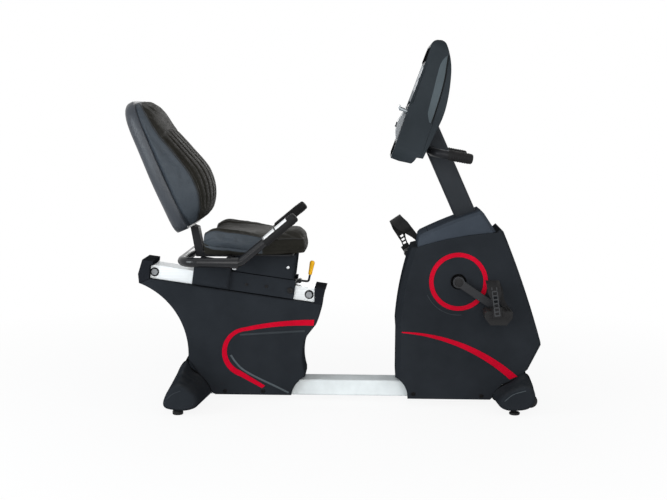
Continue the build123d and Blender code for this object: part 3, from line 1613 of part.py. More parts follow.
# A ledge across the front shell holds a book or a tablet
ledge_low = 165.0
ledge_high = 175.0
ledge_reach = -28.0
ledge_half = 120.0
with BuildPart() as console_front_shell:
    add(console_form)
    add(console_cavity, mode=Mode.SUBTRACT)
    with BuildSketch(console_plane):
        add(outline((ledge_reach, ledge_low), (0, ledge_low), (0, ledge_high), (ledge_reach, ledge_high),
                    ((ledge_reach - 3, (ledge_low + ledge_high) / 2), (ledge_reach, ledge_low))))
    extrude(amount=ledge_half, both=True)
    with BuildSketch(console_face(boss_start)):
        for across in (-1, 1):
            with Locations((across * (bracket_half - boss_inset), bracket_low + boss_inset),
                           (across * (bracket_half - boss_inset), bracket_high - boss_inset)):
                Circle(boss_radius)
    extrude(amount=bracket_front - boss_start)
    add(console_half(0, console_back), mode=Mode.SUBTRACT)
    add(mast_passage.part, mode=Mode.SUBTRACT)
pieces["console_front_shell"] = console_front_shell.part

with BuildPart() as console_rear_shell:
    add(console_form)
    add(console_cavity, mode=Mode.SUBTRACT)
    add(console_half(panel_clearance, console_front), mode=Mode.SUBTRACT)
    add(mast_passage.part, mode=Mode.SUBTRACT)
pieces["console_rear_shell"] = console_rear_shell.part

# Display window and control panel on the console's face
display_low = 226.0
display_high = 338.0
display_thickness = 2.0
display_corner = 10.0
face_low = (4, 206)
face_high = (2, 345)
face_slope = (face_high[0] - face_low[0]) / (face_high[1] - face_low[1])


def face_depth(along):
    """Depth of the upper face at a height up the console."""
    return face_low[0] + face_slope * (along - face_low[1])


with BuildPart() as display_window:
    with BuildSketch(console_plane):
        add(outline((face_depth(display_low), display_low), (face_depth(display_high), display_high),
                    (face_depth(display_high) - display_thickness, display_high),
                    (face_depth(display_low) - display_thickness, display_low)))
    extrude(amount=display_width / 2, both=True)
    with BuildSketch(console_face(console_front)):
        with Locations((0, (display_low + display_high) / 2)):
            RectangleRounded(display_width, display_high - display_low, display_corner)
    extrude(amount=console_back - console_front, mode=Mode.INTERSECT)
pieces["display_window"] = display_window.part

panel_low = 58.0
panel_high = 163.0
panel_half = 110.0
panel_crown = -19.0
panel_top = -12.0
panel_corner = 14.0
key_height = 112.0
lower_slope = -4 / 178
with BuildPart() as control_panel:
    with BuildSketch(console_plane):
        add(outline((lower_slope * panel_low, panel_low),
                    ((panel_crown, key_height), (panel_top, panel_high)),
                    (lower_slope * panel_high, panel_high)))
    extrude(amount=panel_half, both=True)
    with BuildSketch(console_face(console_front)):
        with Locations((0, (panel_low + panel_high) / 2)):
            RectangleRounded(2 * panel_half, panel_high - panel_low, panel_corner)
    extrude(amount=console_back - console_front, mode=Mode.INTERSECT)
    with BuildSketch(console_face(console_front)):
        with Locations((-button_pitch, key_height), (0, key_height), (button_pitch, key_height)):
            Circle(button_radius + moving_clearance)
    extrude(amount=-console_front + panel_crown + button_height, mode=Mode.SUBTRACT)
pieces["control_panel"] = control_panel.part


def console_button(across):
    """A round button standing in its well, with its travel free below it."""
    with BuildPart() as button:
        with BuildSketch(console_face(panel_crown - 2 * button_travel)):
            with Locations((across, key_height)):
                Circle(button_radius)
        extrude(amount=button_height)
    return button.part


pieces["start_button"] = console_button(0)
pieces["level_up_button"] = console_button(button_pitch)
pieces["level_down_button"] = console_button(-button_pitch)

# Front handlebar, a U of tube through the mast with its arms pointing forward
front_bar_dir = Vector(cos(radians(front_bar_drop)), 0, -sin(radians(front_bar_drop)))
front_bar_plane = Plane(
    origin=(front_bar_centre[0], 0, front_bar_centre[1]),
    x_dir=front_bar_dir,
    z_dir=(sin(radians(front_bar_drop)), 0, cos(radians(front_bar_drop))),
)
front_bar_wall = 2.5
with BuildPart() as front_handlebar:
    with BuildLine(front_bar_plane) as bar_path:
        FilletPolyline((front_bar_reach, -front_bar_half), (0, -front_bar_half), (0, front_bar_half),
                       (front_bar_reach, front_bar_half), radius=front_bar_corner)
    with BuildSketch(Plane(origin=bar_path.wires()[0] @ 0, z_dir=bar_path.wires()[0] % 0)):
        Circle(front_bar_radius)
        Circle(front_bar_radius - front_bar_wall, mode=Mode.SUBTRACT)
    sweep(path=bar_path.wires()[0])
pieces["front_handlebar"] = front_handlebar.part

front_grip_length = 72.0
front_grip_end = 6.0
with BuildPart() as front_grip:
    grip_start = Vector(front_bar_centre[0], -front_bar_half, front_bar_centre[1])
    with BuildSketch(Plane(origin=grip_start + front_bar_dir * (front_bar_reach - front_grip_length),
                           z_dir=front_bar_dir)):
        Circle(front_grip_radius)
    extrude(amount=front_grip_length + front_grip_end)
    with BuildSketch(Plane(origin=grip_start + front_bar_dir * (front_bar_reach - front_grip_length),
                           z_dir=front_bar_dir)):
        Circle(front_bar_radius)
    extrude(amount=front_grip_length, mode=Mode.SUBTRACT)
pieces["front_grips"] = both_sides(front_grip.part)

# Each piece is written under its own name
for name, piece in pieces.items():
    piece.label = name
    export_step(piece, f"parts/{name}.step")
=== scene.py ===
# %% [markdown]
# # A recumbent exercise bike
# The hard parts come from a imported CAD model, which stays exactly where it is. This lesson dresses it:
# a camera and soft light, procedural finishes for every surface, stitched cushions that replace the plain
# CAD pads, and the small fittings that make the machine look used and real.

import math

import bmesh
import bpy
import numpy as np
from mathutils import Matrix, Vector
from mathutils.bvhtree import BVHTree


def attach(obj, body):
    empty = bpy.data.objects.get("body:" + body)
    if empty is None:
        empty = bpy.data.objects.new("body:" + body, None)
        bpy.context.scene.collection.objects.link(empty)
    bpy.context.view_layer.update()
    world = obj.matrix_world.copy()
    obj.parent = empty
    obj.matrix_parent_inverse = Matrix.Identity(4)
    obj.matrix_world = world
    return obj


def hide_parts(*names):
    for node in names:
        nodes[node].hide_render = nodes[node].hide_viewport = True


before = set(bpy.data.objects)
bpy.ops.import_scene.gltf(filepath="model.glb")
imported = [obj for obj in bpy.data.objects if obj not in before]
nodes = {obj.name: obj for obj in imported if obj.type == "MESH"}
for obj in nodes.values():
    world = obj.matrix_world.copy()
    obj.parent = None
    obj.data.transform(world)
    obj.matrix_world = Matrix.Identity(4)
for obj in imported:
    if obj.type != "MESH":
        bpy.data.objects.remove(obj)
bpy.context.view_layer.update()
scene = bpy.context.scene

# %% [markdown]
# ## Camera
# The bike is seen from the rider's right side, from a little above the seat. A long lens far away keeps the
# two sides of the machine almost the same size, so the camera stands 4.5 m off and looks slightly down.

# %% Camera
camera_data = bpy.data.cameras.new("camera")
camera_data.sensor_width = 36.0
camera_data.lens = 66.55
camera = bpy.data.objects.new("camera", camera_data)
scene.collection.objects.link(camera)
turn = Matrix.Rotation(math.radians(2.145), 4, "Z")
tilt = Matrix.Rotation(math.radians(90 - 6.707), 4, "X")
roll = Matrix.Rotation(math.radians(0.2), 4, "Z")
camera.matrix_world = Matrix.Translation((0.157, -4.5, 1.087)) @ turn @ tilt @ roll
scene.camera = camera
scene.view_settings.view_transform = "Standard"
print("camera at", [round(v, 3) for v in camera.matrix_world.translation])

# %% [markdown]
# ## Floor, backdrop and light
# The photograph is a catalogue picture on white. The floor and the world show the camera a plain white and
# still light the bike at a normal level: Light Path tells a camera ray from a lighting ray, so the whiteness
# costs the object no extra light. Near the bike the floor keeps a part of its real shading, so a soft shadow
# stays; further out it goes over to pure white, and no horizon shows.


# %% Small helpers for node trees
def fresh_tree(material):
    """An empty node tree for a material, with its links."""
    material.use_nodes = True
    material.node_tree.nodes.clear()
    return material.node_tree.nodes, material.node_tree.links


def seen_directly(shader_nodes, links):
    """1 for rays that show the backdrop: camera, glossy and transmission rays."""
    path = shader_nodes.new("ShaderNodeLightPath")
    either = shader_nodes.new("ShaderNodeMath")
    either.operation = "MAXIMUM"
    links.new(path.outputs["Is Camera Ray"], either.inputs[0])
    links.new(path.outputs["Is Glossy Ray"], either.inputs[1])
    both = shader_nodes.new("ShaderNodeMath")
    both.operation = "MAXIMUM"
    links.new(either.outputs[0], both.inputs[0])
    links.new(path.outputs["Is Transmission Ray"], both.inputs[1])
    return both.outputs[0]


# %% Floor and world
floor_mesh = bpy.data.meshes.new("floor")
floor_mesh.from_pydata([(-40, -40, 0), (40, -40, 0), (40, 40, 0), (-40, 40, 0)], [], [(0, 1, 2, 3)])
floor = bpy.data.objects.new("floor", floor_mesh)
floor.location.z = -0.0004
scene.collection.objects.link(floor)
floor_paint = bpy.data.materials.new("studio_floor")
shader_nodes, links = fresh_tree(floor_paint)
matt = shader_nodes.new("ShaderNodeBsdfDiffuse")
matt.inputs["Color"].default_value = (0.86, 0.86, 0.86, 1)
glow = shader_nodes.new("ShaderNodeEmission")
away = shader_nodes.new("ShaderNodeVectorMath")
away.operation = "LENGTH"
links.new(shader_nodes.new("ShaderNodeTexCoord").outputs["Object"], away.inputs[0])
whiter = shader_nodes.new("ShaderNodeMapRange")
for socket, value in (("From Min", 0.9), ("From Max", 2.4), ("To Min", 0.9), ("To Max", 1.0)):
    whiter.inputs[socket].default_value = value
links.new(away.outputs["Value"], whiter.inputs["Value"])
share = shader_nodes.new("ShaderNodeMath")
share.operation = "MULTIPLY"
links.new(seen_directly(shader_nodes, links), share.inputs[0])
links.new(whiter.outputs["Result"], share.inputs[1])
blend = shader_nodes.new("ShaderNodeMixShader")
links.new(share.outputs[0], blend.inputs[0])
links.new(matt.outputs[0], blend.inputs[1])
links.new(glow.outputs[0], blend.inputs[2])
surface = shader_nodes.new("ShaderNodeOutputMaterial")
links.new(blend.outputs[0], surface.inputs[0])
floor_mesh.materials.append(floor_paint)

world = bpy.data.worlds.new("studio")
scene.world = world
world.use_nodes = True
world.node_tree.nodes.clear()
shader_nodes, links = world.node_tree.nodes, world.node_tree.links
soft_sky = shader_nodes.new("ShaderNodeBackground")
soft_sky.inputs["Color"].default_value = (0.93, 0.96, 1.0, 1)
soft_sky.inputs["Strength"].default_value = 0.36
white_sky = shader_nodes.new("ShaderNodeBackground")
white_sky.inputs["Color"].default_value = (1, 1, 1, 1)
white_sky.inputs["Strength"].default_value = 1.0
blend = shader_nodes.new("ShaderNodeMixShader")
links.new(seen_directly(shader_nodes, links), blend.inputs[0])
links.new(soft_sky.outputs[0], blend.inputs[1])
links.new(white_sky.outputs[0], blend.inputs[2])
surface = shader_nodes.new("ShaderNodeOutputWorld")
links.new(blend.outputs[0], surface.inputs[0])


# %% Lamps
def soft_lamp(name, place, target, size, power, colour):
    """A large square lamp aimed at a point."""
    data = bpy.data.lights.new(name, "AREA")
    data.shape = "SQUARE"
    data.size = size
    data.energy = power
    data.color = colour
    lamp = bpy.data.objects.new(name, data)
    lamp.location = place
    lamp.rotation_euler = (Vector(target) - Vector(place)).to_track_quat("-Z", "Y").to_euler()
    scene.collection.objects.link(lamp)


soft_lamp("top_light", (-0.3, -0.4, 3.8), (0, 0, 0.5), 2.6, 8, (1.0, 0.97, 0.92))
soft_lamp("front_light", (0.2, -4.2, 1.5), (0, 0, 0.6), 2.6, 88, (1.0, 0.99, 0.97))
soft_lamp("left_light", (-2.6, -1.9, 1.2), (-0.4, 0, 0.5), 1.3, 54, (0.90, 0.96, 1.0))
soft_lamp("right_light", (2.7, -1.7, 1.2), (0.5, 0, 0.5), 1.2, 22, (1.0, 0.99, 0.96))
soft_lamp("rear_light", (0.4, 3.6, 1.6), (0, 0, 0.6), 2.4, 40, (1, 1, 1))

# %% [markdown]
# ## Shared surface effects
# Real plastic, paint and vinyl are never one flat colour. A few effects turn up on nearly every piece, so
# each is built once as a node group and placed in the materials with its own values: rounded edges that
# catch the light, a moulded grain, a film of dust on faces that look up, faint handling marks, the pebbled
# grain of vinyl, and the fine lines of drawn or brushed metal.


# %% Node group helper
def effect(name, inputs, outputs):
    """A new shader node group with named sockets; returns the tree, its input node and its output node."""
    tree = bpy.data.node_groups.new(name, "ShaderNodeTree")
    for socket, value in inputs.items():
        made = tree.interface.new_socket(socket, in_out="INPUT", socket_type="NodeSocketFloat")
        made.default_value = value
    for socket, kind in outputs.items():
        tree.interface.new_socket(socket, in_out="OUTPUT", socket_type=kind)
    return tree, tree.nodes.new("NodeGroupInput"), tree.nodes.new("NodeGroupOutput")


def maths(tree, operation, first, second=0.5, clamp=False):
    """A Math node; each value is a number or a socket."""
    node = tree.nodes.new("ShaderNodeMath")
    node.operation = operation
    node.use_clamp = clamp
    for socket, value in zip(node.inputs, (first, second)):
        if isinstance(value, (int, float)):
            socket.default_value = value
        else:
            tree.links.new(value, socket)
    return node.outputs[0]


def spread(tree, value, low, high, new_low=0.0, new_high=1.0):
    """Maps a value from one range to another, clamped."""
    node = tree.nodes.new("ShaderNodeMapRange")
    node.inputs["From Min"].default_value = low
    node.inputs["From Max"].default_value = high
    node.inputs["To Min"].default_value = new_low
    node.inputs["To Max"].default_value = new_high
    tree.links.new(value, node.inputs["Value"])
    return node.outputs["Result"]


def cloud(tree, scale, detail=3.0, rough=0.55, stretch=None):
    """Noise over the object's own coordinates; scale is a number or a socket."""
    where = tree.nodes.new("ShaderNodeTexCoord").outputs["Object"]
    if stretch:
        mapping = tree.nodes.new("ShaderNodeMapping")
        mapping.inputs["Scale"].default_value = stretch
        tree.links.new(where, mapping.inputs["Vector"])
        where = mapping.outputs["Vector"]
    noise = tree.nodes.new("ShaderNodeTexNoise")
    noise.inputs["Detail"].default_value = detail
    noise.inputs["Roughness"].default_value = rough
    tree.links.new(where, noise.inputs["Vector"])
    if isinstance(scale, (int, float)):
        noise.inputs["Scale"].default_value = scale
    else:
        tree.links.new(scale, noise.inputs["Scale"])
    return noise.outputs["Fac"]


# %% Rounded edges
# The CAD edges are sharp. A Bevel node looks up the normal of a softly rounded edge, and where that differs
# from the flat face there is an edge, so the same node also gives a mask for rubbed corners; on the cranks
# that mask, set high, paints a highlight along the edges.
rounded_edges, inlet, outlet = effect(
    "rounded_edges",
    {"Radius": 0.002, "Spread": 0.12},
    {"Normal": "NodeSocketVector", "Edge": "NodeSocketFloat"},
)
bevel = rounded_edges.nodes.new("ShaderNodeBevel")
bevel.samples = 4
rounded_edges.links.new(inlet.outputs["Radius"], bevel.inputs["Radius"])
flat = rounded_edges.nodes.new("ShaderNodeNewGeometry")
likeness = rounded_edges.nodes.new("ShaderNodeVectorMath")
likeness.operation = "DOT_PRODUCT"
rounded_edges.links.new(bevel.outputs[0], likeness.inputs[0])
rounded_edges.links.new(flat.outputs["Normal"], likeness.inputs[1])
turned = maths(rounded_edges, "SUBTRACT", 1.0, likeness.outputs["Value"])
edge = maths(rounded_edges, "DIVIDE", turned, inlet.outputs["Spread"], clamp=True)
wear_and_highlight_mask = maths(rounded_edges, "MULTIPLY", edge, spread(rounded_edges, cloud(rounded_edges, 38.0), 0.35, 0.62))
rounded_edges.links.new(bevel.outputs[0], outlet.inputs["Normal"])
rounded_edges.links.new(wear_and_highlight_mask, outlet.inputs["Edge"])

# %% Moulded grain
# Texture cut into a mould: a field of tiny bumps, with a slow mottle where the plastic flowed and cooled.
moulded_grain, inlet, outlet = effect(
    "moulded_grain",
    {"Scale": 900.0},
    {"Height": "NodeSocketFloat", "Mottle": "NodeSocketFloat"},
)
pebble = moulded_grain.nodes.new("ShaderNodeTexVoronoi")
moulded_place = moulded_grain.nodes.new("ShaderNodeTexCoord")
moulded_grain.links.new(moulded_place.outputs["Object"], pebble.inputs["Vector"])
moulded_grain.links.new(inlet.outputs["Scale"], pebble.inputs["Scale"])
fine = cloud(moulded_grain, maths(moulded_grain, "MULTIPLY", inlet.outputs["Scale"], 1.7), 2.0)
height = maths(moulded_grain, "ADD", maths(moulded_grain, "MULTIPLY", pebble.outputs["Distance"], 0.7), fine)
moulded_grain.links.new(height, outlet.inputs["Height"])
mottle = spread(moulded_grain, cloud(moulded_grain, 7.0, 4.0), 0.3, 0.7)
moulded_grain.links.new(mottle, outlet.inputs["Mottle"])

# %% Dust and handling marks
# Dust settles on faces that look up, in soft patches. Handling marks are long thin smears that change only
# the gloss, so they show when the light rakes across.
settled_dust, inlet, outlet = effect("settled_dust", {"Amount": 0.3}, {"Mask": "NodeSocketFloat"})
facing = settled_dust.nodes.new("ShaderNodeSeparateXYZ")
settled_dust.links.new(settled_dust.nodes.new("ShaderNodeNewGeometry").outputs["Normal"], facing.inputs[0])
upward = spread(settled_dust, facing.outputs["Z"], 0.45, 1.0)
patches = spread(settled_dust, cloud(settled_dust, 26.0, 6.0, 0.65), 0.38, 0.72)
lying = maths(settled_dust, "MULTIPLY", upward, patches)
settled_dust.links.new(maths(settled_dust, "MULTIPLY", lying, inlet.outputs["Amount"]), outlet.inputs["Mask"])

handling_marks, inlet, outlet = effect("handling_marks", {"Scale": 9.0}, {"Mask": "NodeSocketFloat"})
smear_cloud = cloud(handling_marks, inlet.outputs["Scale"], 5.0, 0.6, (1.0, 1.0, 3.0))
smear = spread(handling_marks, smear_cloud, 0.42, 0.68)
scratch_cloud = cloud(handling_marks, 60.0, 2.0, 0.5, (0.15, 1.0, 2.2))
scratch = spread(handling_marks, scratch_cloud, 0.62, 0.7)
marks = maths(handling_marks, "ADD", maths(handling_marks, "MULTIPLY", smear, 0.7),
              maths(handling_marks, "MULTIPLY", scratch, 0.3), clamp=True)
handling_marks.links.new(marks, outlet.inputs["Mask"])

# %% Vinyl grain
# Upholstery vinyl is embossed to look like hide: rounded cells a millimetre or two across with valleys
# between them, and finer wrinkles on top.
vinyl_grain, inlet, outlet = effect(
    "vinyl_grain",
    {"Scale": 520.0},
    {"Height": "NodeSocketFloat", "ValleyShade": "NodeSocketFloat", "Shade": "NodeSocketFloat"},
)
cells = vinyl_grain.nodes.new("ShaderNodeTexVoronoi")
cells.feature = "DISTANCE_TO_EDGE"
vinyl_grain.links.new(vinyl_grain.nodes.new("ShaderNodeTexCoord").outputs["Object"], cells.inputs["Vector"])
vinyl_grain.links.new(inlet.outputs["Scale"], cells.inputs["Scale"])
dome = spread(vinyl_grain, cells.outputs["Distance"], 0.0, 0.28)
wrinkle = cloud(vinyl_grain, maths(vinyl_grain, "MULTIPLY", inlet.outputs["Scale"], 0.45), 3.0)
vinyl_grain.links.new(maths(vinyl_grain, "ADD", dome, wrinkle), outlet.inputs["Height"])
# The valley output darkens the colour: painted shade in the grain's hollows.
vinyl_grain.links.new(maths(vinyl_grain, "SUBTRACT", 1.0, dome), outlet.inputs["ValleyShade"])
vinyl_grain.links.new(spread(vinyl_grain, cloud(vinyl_grain, 11.0, 4.0), 0.3, 0.7), outlet.inputs["Shade"])

# %% Drawn metal lines
# Extruded and brushed metal carries fine parallel lines. Noise that is stretched a hundredfold along the
# length gives them.
drawn_lines, inlet, outlet = effect(
    "drawn_lines",
    {"Scale": 10.0},
    {"Lines": "NodeSocketFloat", "Tone": "NodeSocketFloat"},
)
lines = cloud(drawn_lines, inlet.outputs["Scale"], 3.0, 0.6, (0.6, 60.0, 60.0))
drawn_lines.links.new(lines, outlet.inputs["Lines"])
drawn_lines.links.new(spread(drawn_lines, cloud(drawn_lines, 5.0, 3.0), 0.3, 0.7), outlet.inputs["Tone"])
print("effects:", [g.name for g in bpy.data.node_groups])

# %% [markdown]
# ## Finishes
# Every material starts from the same few steps: a base colour that drifts slightly over the piece, a paler
# tone where corners are rubbed (turned up on the cranks into a painted highlight along the edges), dust on
# top, a bump from the grain, and a roughness that the handling marks change. Metals swap the grain for drawn
# lines. The Principled shader stays in the material itself, and any number that is the same all over is set
# straight on it.


# %% Building blocks of a finish
def linear(red, green, blue):
    """A colour as read off a screen, 0 to 255, turned into the linear values that Blender mixes."""
    return tuple((v / 255 / 12.92) if v <= 10 else ((v / 255 + 0.055) / 1.055) ** 2.4
                 for v in (red, green, blue))


def blank(name):
    """A material with a Principled shader on its output."""
    material = bpy.data.materials.new(name)
    shader_nodes, links = fresh_tree(material)
    shader = shader_nodes.new("ShaderNodeBsdfPrincipled")
    links.new(shader.outputs[0], shader_nodes.new("ShaderNodeOutputMaterial").inputs[0])
    return material, material.node_tree, shader


def place(tree, group, **values):
    """A shared effect, placed in a material with its own values."""
    node = tree.nodes.new("ShaderNodeGroup")
    node.node_tree = group
    for socket, value in values.items():
        node.inputs[socket].default_value = value
    return node


def tint(tree, factor, under, over):
    """Mixes two colours by a mask; each colour is a tuple or a socket."""
    node = tree.nodes.new("ShaderNodeMix")
    node.data_type = "RGBA"
    tree.links.new(factor, node.inputs["Factor"])
    for socket, value in ((node.inputs[6], under), (node.inputs[7], over)):
        if isinstance(value, tuple):
            socket.default_value = (*value, 1)
        else:
            tree.links.new(value, socket)
    return node.outputs[2]


def shade(colour, amount):
    return tuple(min(1.0, v * amount) for v in colour)


def relief(tree, shader, height, depth, normal=None):
    """A bump from a height field, over an optional rounded-edge normal."""
    bump = tree.nodes.new("ShaderNodeBump")
    bump.inputs["Strength"].default_value = 1.0
    bump.inputs["Distance"].default_value = depth
    tree.links.new(height, bump.inputs["Height"])
    if normal is not None:
        tree.links.new(normal, bump.inputs["Normal"])
    tree.links.new(bump.outputs[0], shader.inputs["Normal"])


def moulded(name, colour, rough, grain, depth, radius, rub=0.25, dust=0.06, gloss=0.12):
    """Moulded plastic, paint or rubber: grain, rounded edges paled by wear (a painted highlight on the
    cranks), dust and handling marks.
    """
    material, tree, shader = blank(name)
    grained = place(tree, moulded_grain, Scale=grain)
    edges = place(tree, rounded_edges, Radius=radius)
    dusty = place(tree, settled_dust, Amount=dust)
    handled = place(tree, handling_marks)
    drift = tint(tree, grained.outputs["Mottle"], shade(colour, 0.86), shade(colour, 1.14))
    edge_worn_and_highlit = tint(tree, maths(tree, "MULTIPLY", edges.outputs["Edge"], rub), drift, shade(colour, 2.6))
    coat = tint(tree, dusty.outputs["Mask"], edge_worn_and_highlit, (0.32, 0.31, 0.29))
    tree.links.new(coat, shader.inputs["Base Color"])
    tree.links.new(spread(tree, handled.outputs["Mask"], 0, 1, rough + 0.05, rough - 0.07),
                   shader.inputs["Roughness"])
    shader.inputs["Specular IOR Level"].default_value = gloss
    relief(tree, shader, grained.outputs["Height"], depth, edges.outputs["Normal"])
    return material


def metal(name, colour, rough, lines, depth=0.000012, radius=0.0012, metallic=1.0, dust=0.12):
    """Drawn, brushed or machined metal with fine lines."""
    material, tree, shader = blank(name)
    drawn = place(tree, drawn_lines, Scale=lines)
    edges = place(tree, rounded_edges, Radius=radius)
    dusty = place(tree, settled_dust, Amount=dust)
    toned = tint(tree, drawn.outputs["Tone"], shade(colour, 0.93), shade(colour, 1.05))
    lined = tint(tree, spread(tree, drawn.outputs["Lines"], 0.35, 0.65), toned, shade(colour, 0.88))
    coat = tint(tree, dusty.outputs["Mask"], lined, (0.45, 0.44, 0.42))
    tree.links.new(coat, shader.inputs["Base Color"])
    tree.links.new(spread(tree, drawn.outputs["Lines"], 0.3, 0.7, rough - 0.06, rough + 0.08),
                   shader.inputs["Roughness"])
    shader.inputs["Metallic"].default_value = metallic
    relief(tree, shader, drawn.outputs["Lines"], depth, edges.outputs["Normal"])
    return material


def upholstery(name, colour, rough, grain=520.0, depth=0.00022, dust=0.05, gloss=0.3):
    """Embossed vinyl: pebbled grain with painted shade in its valleys and a soft sheen."""
    material, tree, shader = blank(name)
    hide = place(tree, vinyl_grain, Scale=grain)
    dusty = place(tree, settled_dust, Amount=dust)
    handled = place(tree, handling_marks, Scale=14.0)
    drift = tint(tree, hide.outputs["Shade"], shade(colour, 0.82), shade(colour, 1.18))
    # Painted shade: the grain's valleys go down to 0.45 of the colour.
    lined = tint(tree, maths(tree, "MULTIPLY", hide.outputs["ValleyShade"], 0.5), drift, shade(colour, 0.45))
    coat = tint(tree, dusty.outputs["Mask"], lined, (0.3, 0.29, 0.26))
    tree.links.new(coat, shader.inputs["Base Color"])
    tree.links.new(spread(tree, handled.outputs["Mask"], 0, 1, rough + 0.06, rough - 0.08),
                   shader.inputs["Roughness"])
    shader.inputs["Specular IOR Level"].default_value = gloss
    relief(tree, shader, hide.outputs["Height"], depth)
    return material


# %% The finishes themselves
# Each row gives a colour, then the maker's values in order. Plastic and paint: roughness, grain scale, bump
# depth and edge radius, then edge wear (on the cranks a painted highlight), dust and gloss where they differ
# from the usual. Metal: roughness, line scale, bump depth, edge radius, metallic and dust. Vinyl: roughness,
# grain scale and bump depth.
finish_makers = {
    moulded: {
        "charcoal_plastic": ((37, 40, 44), (0.6, 1100.0, 0.00003, 0.004), {"gloss": 0.0}),
        # Top cover: paler than the shroud plastic, a painted light on the cover's upward-sloping sides.
        "cover_plastic": ((57, 63, 71), (0.6, 1100.0, 0.00003, 0.004), {"gloss": 0.0}),
        "console_plastic": ((41, 46, 50), (0.5, 1100.0, 0.00003, 0.005), {"gloss": 0.04}),
        "matt_black": ((17, 17, 18), (0.7, 900.0, 0.00003, 0.001, 0.0, 0.0, 0.0), {}),
        "cap_plastic": ((30, 32, 36), (0.6, 900.0, 0.00003, 0.003), {"gloss": 0.0}),
        # Console band: paler than the shells, a painted sheen on each flank.
        "band_plastic": ((66, 75, 80), (0.45, 1100.0, 0.00002, 0.0004, 0.0), {}),
        # Crease finishes: paler than the shells, a painted highlight along the moulded steps.
        "crease_plastic": ((74, 81, 85), (0.5, 1100.0, 0.00002, 0.0004), {"gloss": 0.1}),
        "soft_crease": ((50, 54, 58), (0.5, 1100.0, 0.00002, 0.0004), {"gloss": 0.05}),
        # Near-black, darker than the other black plastics; on the rail bolt rings and the console seam cord
        # it is painted shade.
        "plug_plastic": ((8, 8, 9), (0.6, 900.0, 0.00003, 0.0008, 0.1, 0.1), {}),
        "black_plastic": ((30, 30, 31), (0.5, 800.0, 0.00005, 0.0015), {}),
        "black_paint": ((20, 21, 24), (0.22, 700.0, 0.000012, 0.0015, 0.2, 0.03, 0.28), {}),
        "matt_paint": ((27, 28, 31), (0.45, 700.0, 0.000015, 0.0015, 0.2, 0.06, 0.14), {}),
        "mast_paint": ((43, 46, 50), (0.5, 700.0, 0.00002, 0.003, 0.2, 0.04, 0.05), {}),
        # Crank paint: edge wear set high, which paints a highlight along the arm edges as well as wear.
        "crank_paint": ((33, 34, 37), (0.34, 700.0, 0.000015, 0.004, 0.6, 0.05, 0.18), {}),
        "silver_paint": ((214, 219, 220), (0.6, 1200.0, 0.00001, 0.003, 0.0, 0.25, 0.0), {}),
        "black_rubber": ((27, 27, 28), (0.6, 1500.0, 0.00006, 0.0012, 0.2, 0.08, 0.12), {}),
        # Strap rungs: the strap rubber drawn paler, a painted light on the raised rungs.
        "strap_rubber": ((58, 59, 61), (0.6, 1500.0, 0.00004, 0.0006, 0.1, 0.05, 0.1), {}),
        "belt_rubber": ((18, 18, 18), (0.7, 900.0, 0.00006, 0.0008, 0.2, 0.2, 0.3), {}),
        "red_plastic": ((178, 2, 34), (0.4, 700.0, 0.000008, 0.0008, 0.0, 0.03, 0.04), {}),
        "yellow_plastic": ((240, 180, 28), (0.34, 700.0, 0.00001, 0.001, 0.0, 0.05, 0.2), {}),
        "panel_plastic": ((150, 153, 156), (0.42, 1000.0, 0.00002, 0.002, 0.0, 0.15), {}),
        "button_plastic": ((60, 62, 66), (0.4, 900.0, 0.00002, 0.0012, 0.3, 0.1), {}),
        "bezel_plastic": ((206, 208, 210), (0.3, 1000.0, 0.00001, 0.0015, 0.0, 0.1), {}),
        "screen_acrylic": ((12, 12, 14), (0.08, 300.0, 0.000001, 0.0006, 0.0, 0.04, 0.5), {}),
        "screen_ink": ((92, 96, 98), (0.4, 600.0, 0.000004, 0.0002, 0.0, 0.0), {}),
        "ledge_plastic": ((176, 182, 186), (0.3, 900.0, 0.00001, 0.0008, 0.0, 0.05, 0.3), {}),
    },
    metal: {
        "rail_aluminium": ((226, 230, 232), (0.36, 9.0, 0.00001, 0.0015, 0.35), {}),
        "bright_steel": ((200, 202, 205), (0.24, 30.0), {}),
        "bolt_steel": ((128, 131, 134), (0.34, 30.0), {"metallic": 0.7}),
        "pulse_steel": ((244, 245, 246), (0.24, 24.0, 0.000006, 0.001, 0.5, 0.03), {}),
        "flywheel_iron": ((92, 92, 94), (0.42, 16.0), {}),
    },
    upholstery: {
        # The olive front and blue-grey side tints are partly the vinyl's own colour and partly painted light:
        # warm top light on the front panels, cool side light on the side bands.
        "front_vinyl": ((40, 39, 35), (0.6,), {"gloss": 0.05}),
        "side_vinyl": ((54, 61, 68), (0.42,), {"gloss": 0.22}),
        "shell_vinyl": ((48, 53, 60), (0.34, 640.0, 0.00012), {"gloss": 0.38}),
        "welt_vinyl": ((20, 20, 20), (0.5, 640.0, 0.0001), {}),
    },
}
finishes = {}
for maker, members in finish_makers.items():
    for name, (colour, values, settings) in members.items():
        finishes[name] = maker(name, linear(*colour), *values, **settings)
print("finishes:", len(finishes))

# %% [markdown]
# ## Dressing the CAD nodes
# A CAD node whose shape is right stays as it is and only gets its finish. The table below says which pieces
# are moulded, painted, drawn or polished.

